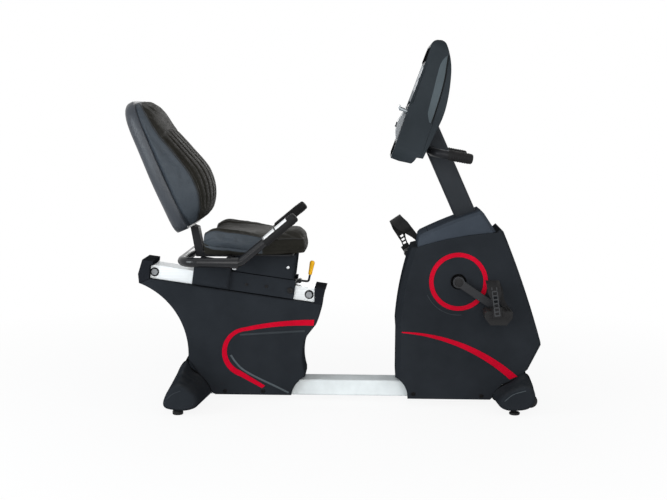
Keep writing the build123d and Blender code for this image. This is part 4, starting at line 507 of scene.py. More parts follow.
# %% Which node gets which finish
dressing = {
    "charcoal_plastic": ["rear_foot_covers", "front_foot_covers", "rear_shroud_right", "rear_shroud_left",
                         "front_shroud_right", "front_shroud_left", "carriage_covers", "seat_base_cover"],
    "cover_plastic": ["top_cover"],
    "console_plastic": ["console_front_shell", "console_rear_shell"],
    "cap_plastic": ["rail_cap_rear", "rail_cap_front"],
    "black_plastic": ["right_pedal", "left_pedal", "drive_pulley", "idler_pulley", "rail_glides",
                      "brake_servo", "transport_wheel_right", "transport_wheel_left"],
    "black_paint": ["seat_handlebar"],
    "matt_paint": ["rear_stabilizer", "front_stabilizer", "rear_frame", "front_frame", "seat_carriage",
                   "front_handlebar", "brake_arm", "seat_lever"],
    "mast_paint": ["mast"],
    "crank_paint": ["right_crank", "left_crank"],
    "silver_paint": ["base_rail"],
    "black_rubber": ["rear_foot_right", "rear_foot_left", "front_foot_right", "front_foot_left",
                     "handle_grips", "front_grips", "right_pedal_strap", "left_pedal_strap"],
    "belt_rubber": ["drive_belt"],
    "red_plastic": ["red_trims"],
    "yellow_plastic": ["lever_grip"],
    "panel_plastic": ["control_panel"],
    "button_plastic": ["start_button", "level_up_button", "level_down_button"],
    "bezel_plastic": ["display_window"],
    "rail_aluminium": ["seat_rail"],
    "bright_steel": ["drive_bearings", "crank_axle"],
    "bolt_steel": ["rail_bolts"],
    "plug_plastic": ["shroud_screws"],
    "pulse_steel": ["pulse_plates"],
    "flywheel_iron": ["flywheel"],
    "shell_vinyl": ["backrest_shell"],
    "front_vinyl": ["seat_cushion", "backrest_cushion"],
}


def dress(piece, finish):
    """Gives a piece one finish in its only material slot."""
    piece.data.materials.clear()
    piece.data.materials.append(finishes[finish])


for finish, members in dressing.items():
    for member in members:
        dress(nodes[member], finish)
left_bare = sorted(set(nodes) - {m for members in dressing.values() for m in members})
print("dressed", sum(map(len, dressing.values())), "nodes; bare:", left_bare)

# %% [markdown]
# ## Padded seat and backrest
# The real cushions are foam under stretched vinyl: a crowned top panel sewn to a side band. A box with a
# bevel would look like a brick, so each one is lofted through a few measured sections, remeshed into even
# small faces, and blown up a little by a cloth simulation, which rounds it as foam rounds its cover.
# Seams and sewn channels are pressed in afterwards, because the remesh would wipe them out.


# %% Helpers for lofted forms
def smooth_column(table, column, at):
    """Values of one column of a station table at the given places, as a smooth curve."""
    places = np.array([row[0] for row in table], float)
    values = np.array([row[column] for row in table], float)
    slopes = np.gradient(values, places)
    at = np.clip(np.asarray(at, float), places[0], places[-1])
    cell = np.clip(np.searchsorted(places, at) - 1, 0, len(places) - 2)
    gap = places[cell + 1] - places[cell]
    t = (at - places[cell]) / gap
    rise = values[cell + 1] - values[cell]
    return (values[cell] + gap * slopes[cell] * t * (1 - t) ** 2 + rise * t * t * (3 - 2 * t)
            - gap * slopes[cell + 1] * t * t * (1 - t))


def add_piece(name, form, body):
    """Turns a bmesh into a named piece that rides on a body."""
    mesh = bpy.data.meshes.new(name)
    form.to_mesh(mesh)
    form.free()
    mesh.shade_smooth()
    piece = bpy.data.objects.new(name, mesh)
    scene.collection.objects.link(piece)
    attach(piece, body)
    return piece


def loft(rings):
    """A closed bmesh through rings of equal point count, with both ends filled."""
    form = bmesh.new()
    loops = [[form.verts.new(point) for point in ring] for ring in rings]
    for lower, upper in zip(loops, loops[1:]):
        for i in range(len(lower)):
            j = (i + 1) % len(lower)
            form.faces.new((lower[i], lower[j], upper[j], upper[i]))
    form.faces.new(loops[0][::-1])
    form.faces.new(loops[-1])
    bmesh.ops.recalc_face_normals(form, faces=form.faces)
    return form


def apply_modifiers(piece):
    """Bakes a piece's modifiers into its mesh."""
    evaluated = piece.evaluated_get(bpy.context.evaluated_depsgraph_get())
    mesh = bpy.data.meshes.new_from_object(evaluated)
    piece.modifiers.clear()
    piece.data = mesh


def points_of(mesh, kind="co"):
    """The vertices' places, or their normals."""
    flat = np.empty(len(mesh.vertices) * 3)
    mesh.vertices.foreach_get(kind, flat)
    return flat.reshape(-1, 3)


def move_points(mesh, points):
    """Puts the vertices at new places."""
    mesh.vertices.foreach_set("co", points.ravel())
    mesh.update()


def press_in(piece, points, dip):
    """Sinks each point along its normal."""
    move_points(piece.data, points - points_of(piece.data, "normal") * dip[:, None])


def even_faces(piece, size):
    """Replaces a rough loft by an even grid of small faces."""
    remesh = piece.modifiers.new("even", "REMESH")
    remesh.mode = "VOXEL"
    remesh.voxel_size = size
    ease = piece.modifiers.new("ease", "SMOOTH")
    ease.iterations = 6
    apply_modifiers(piece)


def swell(piece, resting, cap, pressure=4.0, steps=20):
    """Blows a pad up with cloth pressure, holding where it rests and capping how far a point moves."""
    start = points_of(piece.data)
    held = piece.vertex_groups.new(name="held")
    held.add([int(i) for i in np.nonzero(resting(start))[0]], 1.0, "REPLACE")
    cloth = piece.modifiers.new("swell", "CLOTH")
    settings = cloth.settings
    settings.quality = 5
    settings.mass = 0.3
    settings.tension_stiffness = settings.compression_stiffness = 20
    settings.bending_stiffness = 2.0
    settings.use_pressure = True
    settings.uniform_pressure_force = pressure
    settings.effector_weights.gravity = 0
    settings.vertex_group_mass = "held"
    for step in range(1, steps + 1):
        scene.frame_set(step)
    blown = points_of(piece.evaluated_get(bpy.context.evaluated_depsgraph_get()).data)
    shift = blown - start
    reach = np.linalg.norm(shift, axis=1, keepdims=True)
    piece.modifiers.clear()
    piece.vertex_groups.clear()
    scene.frame_set(1)
    move_points(piece.data, start + shift * np.minimum(1, cap / np.maximum(reach, 1e-9)))
    print(piece.name, "swelled by up to", round(float(min(reach.max(), cap)) * 1000, 1), "mm")


def refine(piece):
    """One subdivision, applied."""
    piece.modifiers.new("refine", "SUBSURF").levels = 1
    apply_modifiers(piece)


def panel_faces(piece, is_side):
    """Gives the faces of the side band the second material."""
    centres = np.empty(len(piece.data.polygons) * 3)
    piece.data.polygons.foreach_get("center", centres)
    piece.data.polygons.foreach_set("material_index", is_side(centres.reshape(-1, 3)).astype(int))
    piece.data.shade_smooth()


def trench(distance, width):
    """A soft groove profile, 1 in its middle."""
    return np.exp(-(distance / width) ** 2)


# %% [markdown]
# ### Seat pad
# The seat is wide at the back, with a raised roll on each side that drops towards the thighs, and it
# narrows to a square nose. Stations along its length give the half width, the height of the lower edge,
# of the side seam and of the middle.

# %% Loft the seat pad
pad_voxel = 0.005
swell_cap = 0.005
seat_rear = -0.471
seat_stations = [
    (0.000, 0.187, 0.588, 0.630, 0.614), (0.026, 0.200, 0.580, 0.645, 0.624),
    (0.095, 0.204, 0.573, 0.645, 0.626), (0.150, 0.205, 0.567, 0.639, 0.627),
    (0.205, 0.203, 0.562, 0.629, 0.628), (0.280, 0.165, 0.560, 0.618, 0.635),
    (0.342, 0.120, 0.561, 0.614, 0.635), (0.365, 0.102, 0.564, 0.609, 0.623),
]
seat_floor = 0.5566


def seat_at(column, x):
    return smooth_column(seat_stations, column, np.asarray(x) - seat_rear)


def seat_ring(x):
    """One section across the seat: floor, side band and dished top."""
    half, edge, seam, crown = (float(seat_at(c, x)) for c in (1, 2, 3, 4))
    top = [(half - 0.006) * math.cos(a) for a in np.linspace(0, math.pi, 29)]
    roll = [(seam if abs(y) > half * 0.86 else crown + (seam - crown) * (abs(y) / half / 0.86) ** 2.6)
            for y in top]
    section = [(-half * 0.84, seat_floor), (half * 0.84, seat_floor), (half - 0.010, edge),
               (half - 0.003, edge + 0.012), (half, (edge + seam) / 2), (half - 0.002, seam - 0.010)]
    section += list(zip(top, roll))
    section += [(-half + 0.002, seam - 0.010), (-half, (edge + seam) / 2), (-half + 0.003, edge + 0.012),
                (-half + 0.010, edge)]
    return [(x, y, z) for y, z in section]


seat_pad = add_piece("seat_pad", loft([seat_ring(x) for x in np.linspace(-0.467, -0.110, 37)]), "seat")
even_faces(seat_pad, pad_voxel)
swell(seat_pad, lambda p: p[:, 2] < seat_floor + 0.003, swell_cap)
refine(seat_pad)
print("seat pad:", len(seat_pad.data.polygons), "faces")

# %% Press in the seat's seams
pad = points_of(seat_pad.data)
half = seat_at(1, pad[:, 0])
seam = seat_at(3, pad[:, 0])
on_top = pad[:, 2] > seam - 0.03
rim = np.hypot(np.abs(pad[:, 1]) - half + 0.006, (pad[:, 2] - seam) * on_top)
rim_dip, band_dip, panel_dip = 0.0030, 0.0022, 0.0042
dip = rim_dip * trench(rim, 0.0045) * (np.abs(pad[:, 1]) > half * 0.8)
low_seam = seat_at(2, pad[:, 0]) + 0.009
dip += band_dip * trench(pad[:, 2] - low_seam, 0.0035) * (np.abs(pad[:, 1]) > half * 0.7)
inner = np.abs(pad[:, 1]) - half * 0.70
behind_cross = np.clip((-0.215 - pad[:, 0]) / 0.03, 0, 1)
dip += panel_dip * trench(inner, 0.005) * (pad[:, 2] > seam - 0.02) * behind_cross
cross = pad[:, 0] + 0.212 - 0.35 * pad[:, 1] ** 2
dip += panel_dip * trench(cross, 0.005) * (pad[:, 2] > seam - 0.01) * (np.abs(pad[:, 1]) < half * 0.985)
press_in(seat_pad, pad, dip)
for finish in ("front_vinyl", "side_vinyl"):
    seat_pad.data.materials.append(finishes[finish])
panel_faces(seat_pad, lambda c: (c[:, 2] < seat_at(3, c[:, 0]) - 0.003) & (c[:, 0] < -0.255)
            & (np.abs(c[:, 1]) > seat_at(1, c[:, 0]) - 0.012))
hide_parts("seat_cushion")

# %% [markdown]
# ### Backrest pad
# The backrest leans back by 23.8 degrees, so its sections are measured in its own frame: height up the
# back, depth forward from its rear face. The front panel is smooth near the top, and below that it is sewn
# into upright channels that follow the side seam.

# %% Loft the backrest pad
lean = math.radians(23.8)
back_foot = np.array((-0.565, 0.0, 0.650))
back_up = np.array((-math.sin(lean), 0, math.cos(lean)))
back_forward = np.array((math.cos(lean), 0, math.sin(lean)))
stretch = 473 / 466
back_stations = [(stretch * row[0] / 1000, *(v / 1000 for v in row[1:])) for row in (
    (-16, 140, 66, 75), (14, 174, 98, 121), (70, 198, 128, 155), (134, 204, 133, 164), (245, 202, 108, 133),
    (330, 195, 83, 104), (413, 175, 70, 89), (448, 146, 62, 77), (462, 116, 53, 63))]
pad_back = 0.0386


def back_at(column, height):
    return smooth_column(back_stations, column, height)


def in_back_frame(points):
    """Splits points into across, height and depth of the backrest."""
    relative = points - back_foot
    return points[:, 1], relative @ back_up, relative @ back_forward


def back_point(across, height, depth):
    return tuple(back_foot + np.array((0, across, 0)) + back_up * height + back_forward * depth)


def back_ring(height):
    """One section across the backrest: flat back, side band and crowned front."""
    half, seam, crown = (float(back_at(c, height)) for c in (1, 2, 3))
    front = [(half - 0.005) * math.cos(a) for a in np.linspace(0, math.pi, 31)]
    bulge = [seam + (crown - seam) * (1 - (abs(y) / half) ** 2.2) for y in front]
    section = [(-half + 0.008, pad_back), (half - 0.008, pad_back), (half - 0.002, pad_back + 0.008),
               (half, (pad_back + seam) / 2), (half - 0.002, seam - 0.008)]
    section += list(zip(front, bulge))
    section += [(-half + 0.002, seam - 0.008), (-half, (pad_back + seam) / 2),
                (-half + 0.002, pad_back + 0.008)]
    return [back_point(y, height, v) for y, v in section]


back_heights = np.linspace(back_stations[0][0] + 0.004, back_stations[-1][0] - 0.003, 49)
back_pad = add_piece("back_pad", loft([back_ring(h) for h in back_heights]), "seat")
even_faces(back_pad, pad_voxel)
swell(back_pad, lambda p: in_back_frame(p)[2] < pad_back + 0.003, swell_cap)
refine(back_pad)
print("backrest pad:", len(back_pad.data.polygons), "faces")

# %% Press in the backrest's seams and channels
pad = points_of(back_pad.data)
across, height, depth = in_back_frame(pad)
half, seam = back_at(1, height), back_at(2, height)
on_front = np.clip((depth - seam + 0.004) / 0.006, 0, 1)
side_seam = np.hypot(np.abs(across) - half + 0.005, depth - seam)
side_dip, channel_dip, yoke_dip, base_dip = 0.0034, 0.0058, 0.0048, 0.0026
dip = side_dip * trench(side_seam, 0.0050)
channel_top = 0.338 - 0.9 * across ** 2
channel_zone = np.clip((channel_top - height) / 0.02, 0, 1) * np.clip((height - 0.02) / 0.03, 0, 1)
for share in (0.14, 0.42, 0.66, 0.86):
    dip += channel_dip * trench(np.abs(across) - half * share, 0.0058) * on_front * channel_zone
dip += yoke_dip * trench(height - channel_top, 0.006) * on_front * (np.abs(across) < half * 0.9)
dip += base_dip * trench(depth - pad_back - 0.006, 0.004)
press_in(back_pad, pad, dip)
for finish in ("front_vinyl", "side_vinyl"):
    back_pad.data.materials.append(finishes[finish])


def back_side(centres):
    across, height, depth = in_back_frame(centres)
    return depth < back_at(2, height) - 0.001


panel_faces(back_pad, back_side)
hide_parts("backrest_cushion")

# %% [markdown]
# ### Piping and stitches
# A thin welt runs along each side seam, and across the seat's dished rear edge. It is a curve with a round
# bevel, laid on the finished pad by asking the pad's surface for the nearest point, so it follows the swollen
# shape exactly. A soft gasket closes the joint between the back pad and its shell.


# %% Welts along the side seams
def surface_of(piece):
    return BVHTree.FromObject(piece, bpy.context.evaluated_depsgraph_get())


def thread(name, points, radius, body, finish, closed=False):
    """A round cord along points, as a smooth curve."""
    curve = bpy.data.curves.new(name, "CURVE")
    curve.dimensions = "3D"
    curve.bevel_depth = radius
    curve.bevel_resolution = 3
    curve.use_fill_caps = True
    spline = curve.splines.new("POLY")
    spline.points.add(len(points) - 1)
    for target, point in zip(spline.points, points):
        target.co = (*point, 1)
    spline.use_cyclic_u = closed
    curve.materials.append(finishes[finish])
    piece = bpy.data.objects.new(name, curve)
    scene.collection.objects.link(piece)
    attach(piece, body)


def laid_on(surface, points, sink):
    """Points moved onto a surface and sunk into it."""
    laid = []
    for point in points:
        place, normal, _, _ = surface.find_nearest(Vector(point))
        laid.append(place - normal * sink)
    return laid


def out_and_back(path):
    """A path up one side continued down the mirrored side."""
    return path + [(x, -y, z) for x, y, z in reversed(path)]


welt_radius = 0.0019
welt_sink = 0.0004
seat_side = [(x, -float(seat_at(1, x)) + 0.006, float(seat_at(3, x)))
             for x in np.linspace(-0.464, -0.116, 90)]
edge_place = -0.462
seat_back_edge = [(edge_place, y, z + 0.006) for _, y, z in seat_ring(edge_place)[7:34]]
back_side_path = [back_point(-float(back_at(1, h)) + 0.005, h, float(back_at(2, h)))
                  for h in np.linspace(back_heights[0] + 0.004, back_heights[-1] - 0.003, 110)]
for name, path, pad_piece in (("seat_welt", out_and_back(seat_side) + seat_back_edge, seat_pad),
                              ("back_welt", out_and_back(back_side_path), back_pad)):
    welt = laid_on(surface_of(pad_piece), path, welt_sink)
    thread(name, welt, welt_radius, "seat", "welt_vinyl", closed=True)
gap_side = [back_point(-float(back_at(1, h)) + 0.009, h, pad_back - 0.0018)
            for h in np.linspace(back_heights[0] + 0.003, back_heights[-1] - 0.002, 110)]
gasket_radius = 0.0046
thread("back_gasket", out_and_back(gap_side), gasket_radius, "seat", "shell_vinyl",
       closed=True)
print("welts: seat and backrest; gasket behind the back pad")

# %% [markdown]
# ## Fittings
# Screws, caps, ribs and creases are small, but a machine without them looks like a toy. Round ones are turned
# on a lathe in code: a profile is spun about an axis. Many are set on the surface that carries them by
# shooting a ray at the CAD node and reading where it lands, so these neither float nor sink.


# %% Lathe, block and ray helpers
def aimed(place, direction):
    """A frame at a point whose Z axis looks along a direction."""
    return Matrix.Translation(place) @ Vector(direction).to_track_quat("Z", "Y").to_matrix().to_4x4()


def turn_profile(form, profile, where, segments=28, sixfold=()):
    """Spins (radius, height) points about the Z axis of a frame; listed rings are hexagons."""
    rings = []
    for index, (radius, height) in enumerate(profile):
        ring = []
        for angle in np.arange(segments) * 2 * math.pi / segments:
            flat = 1
            if index in sixfold:
                flat = math.cos(math.pi / 6) / math.cos(angle % (math.pi / 3) - math.pi / 6)
            ring.append(form.verts.new(where @ Vector((radius * flat * math.cos(angle),
                                                       radius * flat * math.sin(angle), height))))
        rings.append(ring)
    for lower, upper in zip(rings, rings[1:]):
        for i in range(segments):
            j = (i + 1) % segments
            form.faces.new((lower[i], lower[j], upper[j], upper[i]))
    form.faces.new(rings[0][::-1])
    form.faces.new(rings[-1])


def block(form, where, size, soft=0.001):
    """A box in a frame with softened edges."""
    made = bmesh.ops.create_cube(form, size=1, matrix=where @ Matrix.Diagonal((*size, 1)))
    edges = dict.fromkeys(edge for vert in made["verts"] for edge in vert.link_edges)
    bmesh.ops.bevel(form, geom=list(edges), offset=soft, segments=2, profile=0.6, affect="EDGES")


surfaces = {}


def landing(node, x, z, side):
    """Where a ray along Y from one side of the bike meets a node."""
    if node not in surfaces:
        surfaces[node] = surface_of(nodes[node])
    place, normal, _, _ = surfaces[node].ray_cast(Vector((x, side * 0.6, z)), Vector((0, -side, 0)))
    return place, normal


def socket_screw(form, place, direction, radius):
    """A domed screw head with a hexagonal socket."""
    rim = [(1.0, -0.06), (1.0, 0.22), (0.95, 0.36), (0.82, 0.5),
           (0.62, 0.58), (0.52, 0.58), (0.48, 0.5), (0.46, 0.2)]
    turn_profile(form, [(r * radius, h * radius) for r, h in rim], aimed(place, direction), 30, (5, 6, 7))


def finish_piece(name, form, body, finish):
    """Adds a bmesh as a piece with one finish."""
    bmesh.ops.recalc_face_normals(form, faces=form.faces)
    piece = add_piece(name, form, body)
    piece.data.materials.append(finishes[finish])
    piece.data.set_sharp_from_angle(angle=math.radians(35))


both = (-1, 1)
hands = (("right", -1), ("left", 1))
print("fitting helpers ready")

# %% Screws on the carriage, the collars and the shrouds
cover_screw, collar_screw, plug_screw = 0.0062, 0.0085, 0.0075
handle_out, handle_height = 0.268, 0.541
carriage_screws = ((-0.3239, 0.4395, 0.0058), (-0.2514, 0.4329, 0.0058), (-0.1645, 0.4190, 0.0115))
bright = bmesh.new()
dark = bmesh.new()
for side in both:
    place, normal = landing("seat_base_cover", -0.1722, 0.5037, side)
    socket_screw(bright, place, normal, cover_screw)
    collar_under = Vector((-0.3455, side * handle_out, handle_height - 0.0193))
    socket_screw(bright, collar_under, (0, 0, -1), collar_screw)
    for x, z, radius in carriage_screws:
        place, normal = landing("carriage_covers", x, z, side)
        socket_screw(dark, place, normal, radius)
finish_piece("carriage_screws_bright", bright, "seat", "bright_steel")
finish_piece("carriage_screws_dark", dark, "seat", "black_plastic")

# A near-black ring round each rail bolt, shaped like a washer, paints the shadow in the bolt's hole.
shade_ring_profile = [(0.0165, -0.0005), (0.0165, 0.0012), (0.0150, 0.0022), (0.0060, 0.0022)]
beside_bolt = 0.016
bolt_shade_rings = bmesh.new()
for side in both:
    for x, z in ((-0.6650, 0.4778), (-0.0980, 0.3989)):
        place, normal = landing("seat_rail", x - beside_bolt, z, side)
        face = Vector((x, place.y, z))
        turn_profile(bolt_shade_rings, shade_ring_profile, aimed(face, normal), 32)
finish_piece("rail_bolt_shade_rings", bolt_shade_rings, "frame", "plug_plastic")

plugs = bmesh.new()
for node, spots in (("rear_shroud", ((-0.4062, 0.0410), (-0.2661, 0.0427))),
                    ("front_shroud", ((0.2829, 0.0478), (0.5285, 0.0435)))):
    for hand, side in hands:
        for x, z in spots:
            place, normal = landing(f"{node}_{hand}", x, z, side)
            socket_screw(plugs, place, normal, plug_screw)
finish_piece("shroud_plugs", plugs, "frame", "plug_plastic")
print("screws set")

# %% [markdown]
# ### Crank caps and pedals
# A pressed cap hides the end of the axle in each crank. The pedals get ribs across the tread. The outer leg
# of each strap is a ladder of rubber rungs that hooks over the pedal; rays lay the rungs on the strap. The
# rungs are drawn paler than the strap, a painted light on their raised faces.

# %% Crank caps, pedal treads and strap ladders
crank_x, crank_z = 0.441, 0.460
crank_centre = Vector((crank_x, 0, crank_z))
caps = bmesh.new()
cap_profile = [(0.0150, -0.0004), (0.0150, 0.0016), (0.0140, 0.0030), (0.0105, 0.0036), (0.0095, 0.0028),
               (0.0060, 0.0026), (0.0040, 0.0030)]
for side in both:
    turn_profile(caps, cap_profile, aimed(crank_centre + Vector((0, side * 0.138, 0)), (0, side, 0)), 36)
finish_piece("crank_caps", caps, "crankset", "black_plastic")

crank_swing = math.radians(34)
crank_length = 0.170
arm = Vector((crank_length * math.cos(crank_swing), 0, -crank_length * math.sin(crank_swing)))
end_profile = [(0.0125, -0.001), (0.0125, 0.002), (0.0110, 0.0035), (0.0060, 0.0040), (0.0045, 0.0030)]
pedal_middle, pedal_end, strap_leg_out = 0.192, 0.2378, 0.225
rail_size = (0.0040, 0.0020, 0.0150)
ladder_step = ((0, 0, (0.0175, 0.0022, 0.0048)), (-0.0085, 0.007, rail_size), (0.0085, 0.007, rail_size))
for hand, side, tilt_angle, leg_foot, leg_top, leg_height in (
        ("right", -1, 0.0, -0.014, -0.028, 0.112), ("left", 1, 34.0, -0.040, -0.012, 0.136)):
    axle = crank_centre + arm * -side
    stand = Matrix.Translation(axle) @ Matrix.Rotation(-math.radians(tilt_angle), 4, "Y")
    tread = bmesh.new()
    middle = side * pedal_middle
    for along in (-0.046, -0.030, 0.008, 0.024, 0.034):
        block(tread, stand @ Matrix.Translation((along, middle, 0.0098)), (0.006, 0.078, 0.004))
    for along in (-0.043, 0.029):
        for drop in (-0.006, -0.014, -0.022):
            block(tread, stand @ Matrix.Translation((along * (1 + drop * 9), side * 0.2383, drop)),
                  (0.012, 0.003, 0.004), 0.0006)
    turn_profile(tread, end_profile, stand @ aimed((0, side * pedal_end, 0), (0, side, 0)), 30)
    finish_piece(f"{hand}_pedal_tread", tread, f"{hand}_pedal_set", "black_plastic")
    ladder = bmesh.new()
    lean_in = math.atan2(leg_top - leg_foot, leg_height - 0.004)
    across_leg = Matrix.Rotation(lean_in, 4, "Y")
    for height in np.arange(-0.005, 0.080, 0.014):
        along = leg_foot + (leg_top - leg_foot) * (height - 0.004) / (leg_height - 0.004)
        for shift, lift, size in ladder_step:
            spot = stand @ Vector((along + shift, 0, height + lift))
            place, _ = landing(f"{hand}_pedal_strap", spot.x, spot.z, side)
            if place is not None and abs(place.y) > strap_leg_out:
                turned = stand.to_3x3().to_4x4() @ across_leg
                block(ladder, Matrix.Translation(place) @ turned, size, 0.0006)
    finish_piece(f"{hand}_strap_ladder", ladder, f"{hand}_pedal_set", "strap_rubber")
print("cranks and pedals dressed")

# %% [markdown]
# ### Grips
# The side grips end in a rounded plug and carry a few ribs; the front grips get the same. The ribs are thin
# rings, turned about the handle's own axis. A rubber lining covers the inner half of the pulse plates. The
# release lever ends in a drop-shaped knob.

# %% Grip ends and ribs
rise = math.radians(40)
handle_dir = Vector((math.cos(rise), 0, math.sin(rise)))
handle_top = Vector((-math.sin(rise), 0, math.cos(rise)))
drop = math.radians(10)
front_dir = Vector((math.cos(drop), 0, -math.sin(drop)))
dome = [(1.0, -0.10), (1.0, 0.02), (0.985, 0.16), (0.93, 0.30),
        (0.82, 0.42), (0.66, 0.50), (0.40, 0.55), (0.12, 0.565)]
ring_shape = [(1.0, -0.0026), (1.055, -0.0016), (1.07, 0.0), (1.055, 0.0016), (1.0, 0.0026)]
lining_arc = [(r, math.radians(a)) for r, angles in ((0.0192, np.linspace(-8, 78, 9)),
                                                     (0.0168, np.linspace(78, -8, 9))) for a in angles]


def plug_and_ribs(form, tip, along, plug_radius, rib_radius, rib_places):
    """A domed plug at a grip's tip, and ribs at the given distances back from it."""
    turn_profile(form, [(r * plug_radius, h * plug_radius) for r, h in dome], aimed(tip, along), 32)
    for back in rib_places:
        turn_profile(form, [(r * rib_radius, h) for r, h in ring_shape], aimed(tip - along * back, along), 32)


side_grips = bmesh.new()
front_ends = bmesh.new()
for hand, side in hands:
    tip = Vector((-0.358 + 0.030, side * handle_out, handle_height)) + handle_dir * 0.246
    plug_and_ribs(side_grips, tip, handle_dir, 0.0176, 0.0175, (0.010, 0.016, 0.022, 0.1255))
    lining = []
    for back in np.linspace(0.021, 0.130, 14):
        middle = tip - handle_dir * float(back)
        lining.append([middle + handle_top * (r * math.cos(a)) + Vector((0, -side * r * math.sin(a), 0))
                       for r, a in lining_arc])
    finish_piece(f"grip_lining_{hand}", loft(lining), "seat", "black_rubber")
    end = Vector((0.341, side * 0.165, 0.924)) + front_dir * 0.133
    plug_and_ribs(front_ends, end, front_dir, 0.0181, 0.0180, np.arange(0.008, 0.076, 0.0085))
finish_piece("side_grip_ends", side_grips, "seat", "black_rubber")
finish_piece("front_grip_ribs", front_ends, "frame", "black_rubber")
knob = bmesh.new()
lever_dir = Vector((0.1878, 0, 0.9822))
droplet = [(0.0064, -0.0006), (0.0071, 0.0008), (0.0073, 0.010), (0.0078, 0.022), (0.0088, 0.034),
           (0.0094, 0.041), (0.0090, 0.0455), (0.0074, 0.0490), (0.0046, 0.0512), (0.0014, 0.0519)]
lever_tip = Vector((-0.0978, 0, 0.4668))
turn_profile(knob, droplet, aimed(lever_tip, lever_dir), 32)
finish_piece("lever_knob", knob, "release_lever", "yellow_plastic")
print("grips and lever knob dressed")

# %% [markdown]
# ### Creases in the shrouds
# The mouldings have shallow raised lines: one inside the rear red arc, one under the front red stripe, an arc
# round part of the crank's red ring, and one across each foot cover. Each is a thin half-sunk cord laid on
# the shell, in a plastic paler than the shell that paints the highlight along the moulded step.


# %% Creases
sunk_share = 0.6


def crease(name, node, points, radius, side, finish):
    """A raised line through side-view points, laid on a node's outer face."""
    spots = np.array(points)
    run = np.concatenate(([0], np.cumsum(np.hypot(*np.diff(spots, axis=0).T))))
    table = [(r, *p) for r, p in zip(run, spots)]
    at = np.linspace(0, run[-1], max(12, int(run[-1] / 0.006)))
    laid = []
    for x, z in zip(smooth_column(table, 1, at), smooth_column(table, 2, at)):
        place, normal = landing(node, float(x), float(z), side)
        if place is not None:
            laid.append(place - normal * radius * sunk_share)
    thread(name, laid, radius, "frame", finish)


ring_radius = 0.121
crank_ring = [(crank_x + ring_radius * math.cos(a), crank_z + ring_radius * math.sin(a))
              for a in np.radians(np.linspace(204, 276, 40))]
# The paler crease finishes paint the highlight of each moulded step.
crease_lines = {
    "rear_crease": ("rear_shroud", 0.0048, "crease_plastic",
                    [(-0.384, 0.176), (-0.3796, 0.1685), (-0.3504, 0.1315), (-0.2843, 0.0912),
                     (-0.2219, 0.0620), (-0.172, 0.0375)]),
    "rear_band": ("rear_shroud", 0.0052, "soft_crease", [(-0.350, 0.251), (-0.240, 0.259), (-0.112, 0.2675)]),
    "front_crease": ("front_shroud", 0.0030, "soft_crease",
                     [(0.2420, 0.2730), (0.3417, 0.2610), (0.4500, 0.2256), (0.5586, 0.1720),
                      (0.6300, 0.1310)]),
    "crank_crease": ("front_shroud", 0.0018, "soft_crease", crank_ring),
    "front_foot_crease": ("front_foot_covers", 0.0014, "crease_plastic",
                          [(0.600, 0.0570), (0.628, 0.0800), (0.674, 0.0950)]),
    "rear_foot_crease": ("rear_foot_covers", 0.0014, "soft_crease",
                         [(-0.582, 0.064), (-0.560, 0.0820), (-0.533, 0.0930)]),
}
for hand, side in hands:
    for name, (node, radius, finish, points) in crease_lines.items():
        carrier = f"{node}_{hand}" if node.endswith("shroud") else node
        crease(f"{name}_{hand}", carrier, points, radius, side, finish)

# %% [markdown]
# ### Shade cords on the foot covers
# A near-black closed cord runs along each foot cover's own inner outline and fills the joint between the
# cover and the shroud beside it: a painted shadow in the gap.

# %% Foot cover shade cords
gap_shade_radius = 0.0042
gap_shade_outlines = {
    "rear": (-0.550, 0.0785, [(2, 150), (-20, 122), (-39, 66), (-40, 35), (-8, 22), (45, 22), (89, 36),
                              (74, 73), (45, 104), (17, 126)]),
    "front": (0.640, 0.1185, [(45, 126), (64, 99), (74, 60), (57, 32), (0, 20), (-45, 26), (-68, 43),
                              (-39, 79), (2, 102)]),
}
for end, (middle, apart, outline) in gap_shade_outlines.items():
    count = len(outline)
    table = [(i, *outline[i % count]) for i in range(-2, count + 3)]
    at = np.linspace(0, count, 120, endpoint=False)
    path = list(zip(smooth_column(table, 1, at) / 1000 + middle, smooth_column(table, 2, at) / 1000))
    for hand, side in hands:
        thread(f"{end}_foot_gap_shade_{hand}", [(x, side * apart, z) for x, z in path], gap_shade_radius, "frame",
               "matt_black", closed=True)
print("foot cover gap shade laid")

# %% [markdown]
# ## Console
# The display is a smoked acrylic window in a pale surround, with a dot profile of bars and three small
# read-outs behind it. The bars and digits are thin plates, because a painted pattern would vanish up close.

# %% The console's own frame
console_lean = math.radians(20.4)
console_foot = Vector((0.195, 0, 0.906))
console_in = Vector((math.cos(console_lean), 0, -math.sin(console_lean)))
console_up = Vector((math.sin(console_lean), 0, math.cos(console_lean)))


def console_frame(across, up, depth):
    """A frame on the console's face: X is across, Y is up the face, Z is out towards the rider."""
    place = console_foot + Vector((0, across, 0)) + console_up * up + console_in * depth
    basis = Matrix((Vector((0, -1, 0)), console_up, -console_in)).transposed().to_4x4()
    return Matrix.Translation(place) @ basis


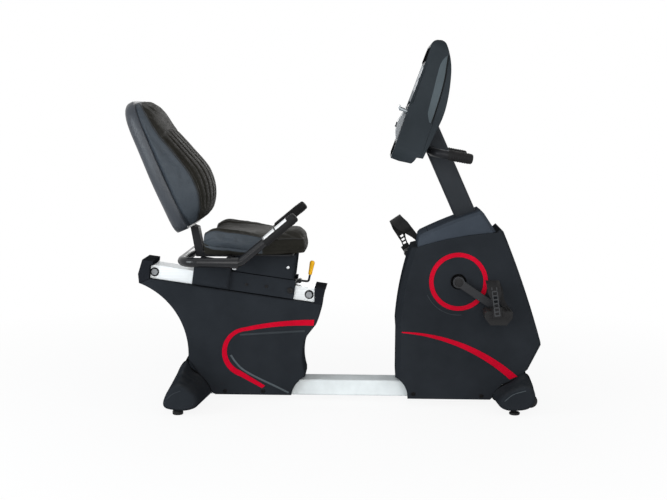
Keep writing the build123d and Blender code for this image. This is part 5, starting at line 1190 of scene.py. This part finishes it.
def rounded_plate(form, where, width, height, thick, corner, steps=6):
    """A plate with round corners and a softened front edge, standing out of a frame along Z."""
    rings = []
    for inset, level in ((0.0, 0.0), (0.0, thick * 0.6), (thick * 0.4, thick)):
        ring = []
        for quarter, (sx, sy) in enumerate(((1, 1), (-1, 1), (-1, -1), (1, -1))):
            for a in np.linspace(quarter, quarter + 1, steps) * math.pi / 2:
                radius = max(corner - inset, 0.0002)
                x = sx * (width / 2 - corner) + radius * math.cos(a)
                y = sy * (height / 2 - corner) + radius * math.sin(a)
                ring.append(form.verts.new(where @ Vector((x, y, level))))
        rings.append(ring)
    for lower, upper in zip(rings, rings[1:]):
        for i in range(len(lower)):
            j = (i + 1) % len(lower)
            form.faces.new((lower[i], lower[j], upper[j], upper[i]))
    form.faces.new(rings[0][::-1])
    form.faces.new(rings[-1])


# %% Window, bars and digits
screen_middle = 0.282
screen_depth = 0.0009
mark_depth = screen_depth - 0.0011
glass = bmesh.new()
screen_size = (0.276, 0.088, 0.0012)
rounded_plate(glass, console_frame(0, screen_middle, screen_depth), *screen_size, 0.006)
finish_piece("screen_glass", glass, "frame", "screen_acrylic")

bar_pitch, dot_pitch, digit_pitch, mark_thick = 0.0072, 0.0064, 0.0085, 0.0005
lit = bmesh.new()
profile_heights = (2, 3, 4, 3, 5, 6, 5, 7, 6, 7, 5, 6, 4, 5, 3, 2)
for column, tall in enumerate(profile_heights):
    for row in range(tall):
        spot = console_frame(-0.068 + column * bar_pitch, 0.258 + row * dot_pitch, mark_depth)
        rounded_plate(lit, spot, 0.0052, 0.0044, mark_thick, 0.0008, 3)

zero_segments = ((0, 1, False), (-1, 0.5, True), (1, 0.5, True), (-1, -0.5, True), (1, -0.5, True),
                 (0, -1, False))
for across in (-0.112, 0.076, 0.108):
    for digit in (-digit_pitch, 0.0, digit_pitch):
        for x, y, upright in zero_segments:
            size = (0.0010, 0.0052) if upright else (0.0042, 0.0010)
            spot = console_frame(across + digit + x * 0.0027, 0.296 + y * 0.0060, mark_depth)
            rounded_plate(lit, spot, *size, mark_thick, 0.0004, 3)
finish_piece("screen_marks", lit, "frame", "screen_ink")

# %% Matt faces and display surround
matt = bmesh.new()
rounded_plate(matt, console_frame(0, 0.380, -0.0066), 0.372, 0.050, 0.0026, 0.008)
rounded_plate(matt, console_frame(0, 0.030, 0.0004), 0.300, 0.046, 0.0022, 0.010)
rims = bmesh.new()
pale = bmesh.new()
grey = bmesh.new()
rim_out, cheek_out = 0.1915, 0.1880
for side in both:
    block(rims, console_frame(side * rim_out, 0.275, -0.0005), (0.0045, 0.174, 0.0110), 0.0010)
    block(pale, console_frame(side * cheek_out, 0.3025, 0.0000), (0.0030, 0.105, 0.0096), 0.0006)
    block(grey, console_frame(side * cheek_out, 0.2290, 0.0000), (0.0030, 0.042, 0.0096), 0.0006)
finish_piece("console_matt_faces", matt, "frame", "matt_black")
finish_piece("display_rims", rims, "frame", "console_plastic")
finish_piece("display_cheeks", pale, "frame", "bezel_plastic")
finish_piece("display_lower_cheeks", grey, "frame", "panel_plastic")

# %% Key marks
marks = {"start_key": [((0, 0), (0.0060, 0.0060))],
         "level_up_key": [((0, 0), (0.0080, 0.0018)), ((0, 0), (0.0018, 0.0080))],
         "level_down_key": [((0, 0), (0.0080, 0.0018))]}
key_gap, key_level, key_depth = 0.046, 0.112, -0.0229
key_across = {"start_key": 0.0, "level_up_key": key_gap, "level_down_key": -key_gap}
for key, bars in marks.items():
    mark = bmesh.new()
    for (x, y), size in bars:
        spot = console_frame(key_across[key] + x, key_level + y, key_depth)
        rounded_plate(mark, spot, *size, mark_thick, 0.0006, 3)
    finish_piece(f"{key}_mark", mark, key, "bezel_plastic")
print("console dressed")

# %% [markdown]
# ### Ledge and side bands of the console
# A pale lip edges the book ledge, with a small upturned nose. Each flank carries a paler band beside the seam
# between the two shells, a painted sheen, and a near-black cord in the seam paints the shade inside its
# groove. The band is a closed strip: an outer row laid on the flank by rays, and an inner row sunk into the
# shell's wall.

# %% Ledge lip
lip_profile = [(-0.0010, 0.1630), (-0.0270, 0.1630), (-0.0335, 0.1655), (-0.0365, 0.1710), (-0.0368, 0.1800),
               (-0.0352, 0.1822), (-0.0330, 0.1812), (-0.0318, 0.1770), (-0.0010, 0.1768)]
lip_half = 0.122
lip_rings = []
for across in np.linspace(-lip_half, lip_half, 25):
    tuck = 0.004 * max(0.0, abs(float(across)) / lip_half - 0.94) / 0.06
    foot = console_foot + Vector((0, float(across), 0))
    lip_rings.append([foot + console_up * (up + (tuck if up < 0.17 else -tuck))
                      + console_in * (depth + tuck * 0.5) for depth, up in lip_profile])
finish_piece("ledge_lip", loft(lip_rings), "frame", "ledge_plastic")
print("ledge lip laid")


# %% Side bands and painted seam shade
def on_flank(up, depth, side):
    """The outer of the two shells' faces at a place on one flank, or nothing where both are missed."""
    spot = console_foot + console_up * float(up) + console_in * float(depth)
    hits = [landing(node, spot.x, spot.z, side)[0] for node in ("console_front_shell", "console_rear_shell")]
    hits = [hit for hit in hits if hit is not None]
    return max(hits, key=lambda hit: hit.y * side) if hits else None


band_levels = ((0.160, 0.0800, 0.0885), (0.185, 0.0650, 0.0880), (0.215, 0.0595, 0.0865),
               (0.260, 0.0545, 0.0835), (0.320, 0.047, 0.0765), (0.365, 0.045, 0.067),
               (0.385, 0.050, 0.0625), (0.396, 0.0565, 0.0600))
band_lift, band_sink, groove_radius = 0.0012, 0.0020, 0.0020
for hand, side in hands:
    rings = []
    groove = []
    for up in np.linspace(band_levels[0][0], band_levels[-1][0], 40):
        rear, front = (float(smooth_column(band_levels, c, up)) for c in (1, 2))
        shares = np.linspace(0, 1, 9)
        row = [on_flank(up, rear + (front - rear) * share, side) for share in shares]
        if any(place is None for place in row):
            continue
        lifts = band_lift * np.sin(np.pi * shares) ** 0.5 - 0.0002
        outer = [place + Vector((0, side * float(lift), 0)) for place, lift in zip(row, lifts)]
        rings.append(outer + [place - Vector((0, side * band_sink, 0)) for place in reversed(row)])
        groove.append(row[-1])
    finish_piece(f"console_sheen_band_{hand}", loft(rings), "frame", "band_plastic")
    # Painted shade: a near-black cord laid in the seam between the two shells.
    thread(f"console_seam_shade_{hand}", groove, groove_radius, "frame", "plug_plastic")
    print("console band", hand, len(rings), "rows")
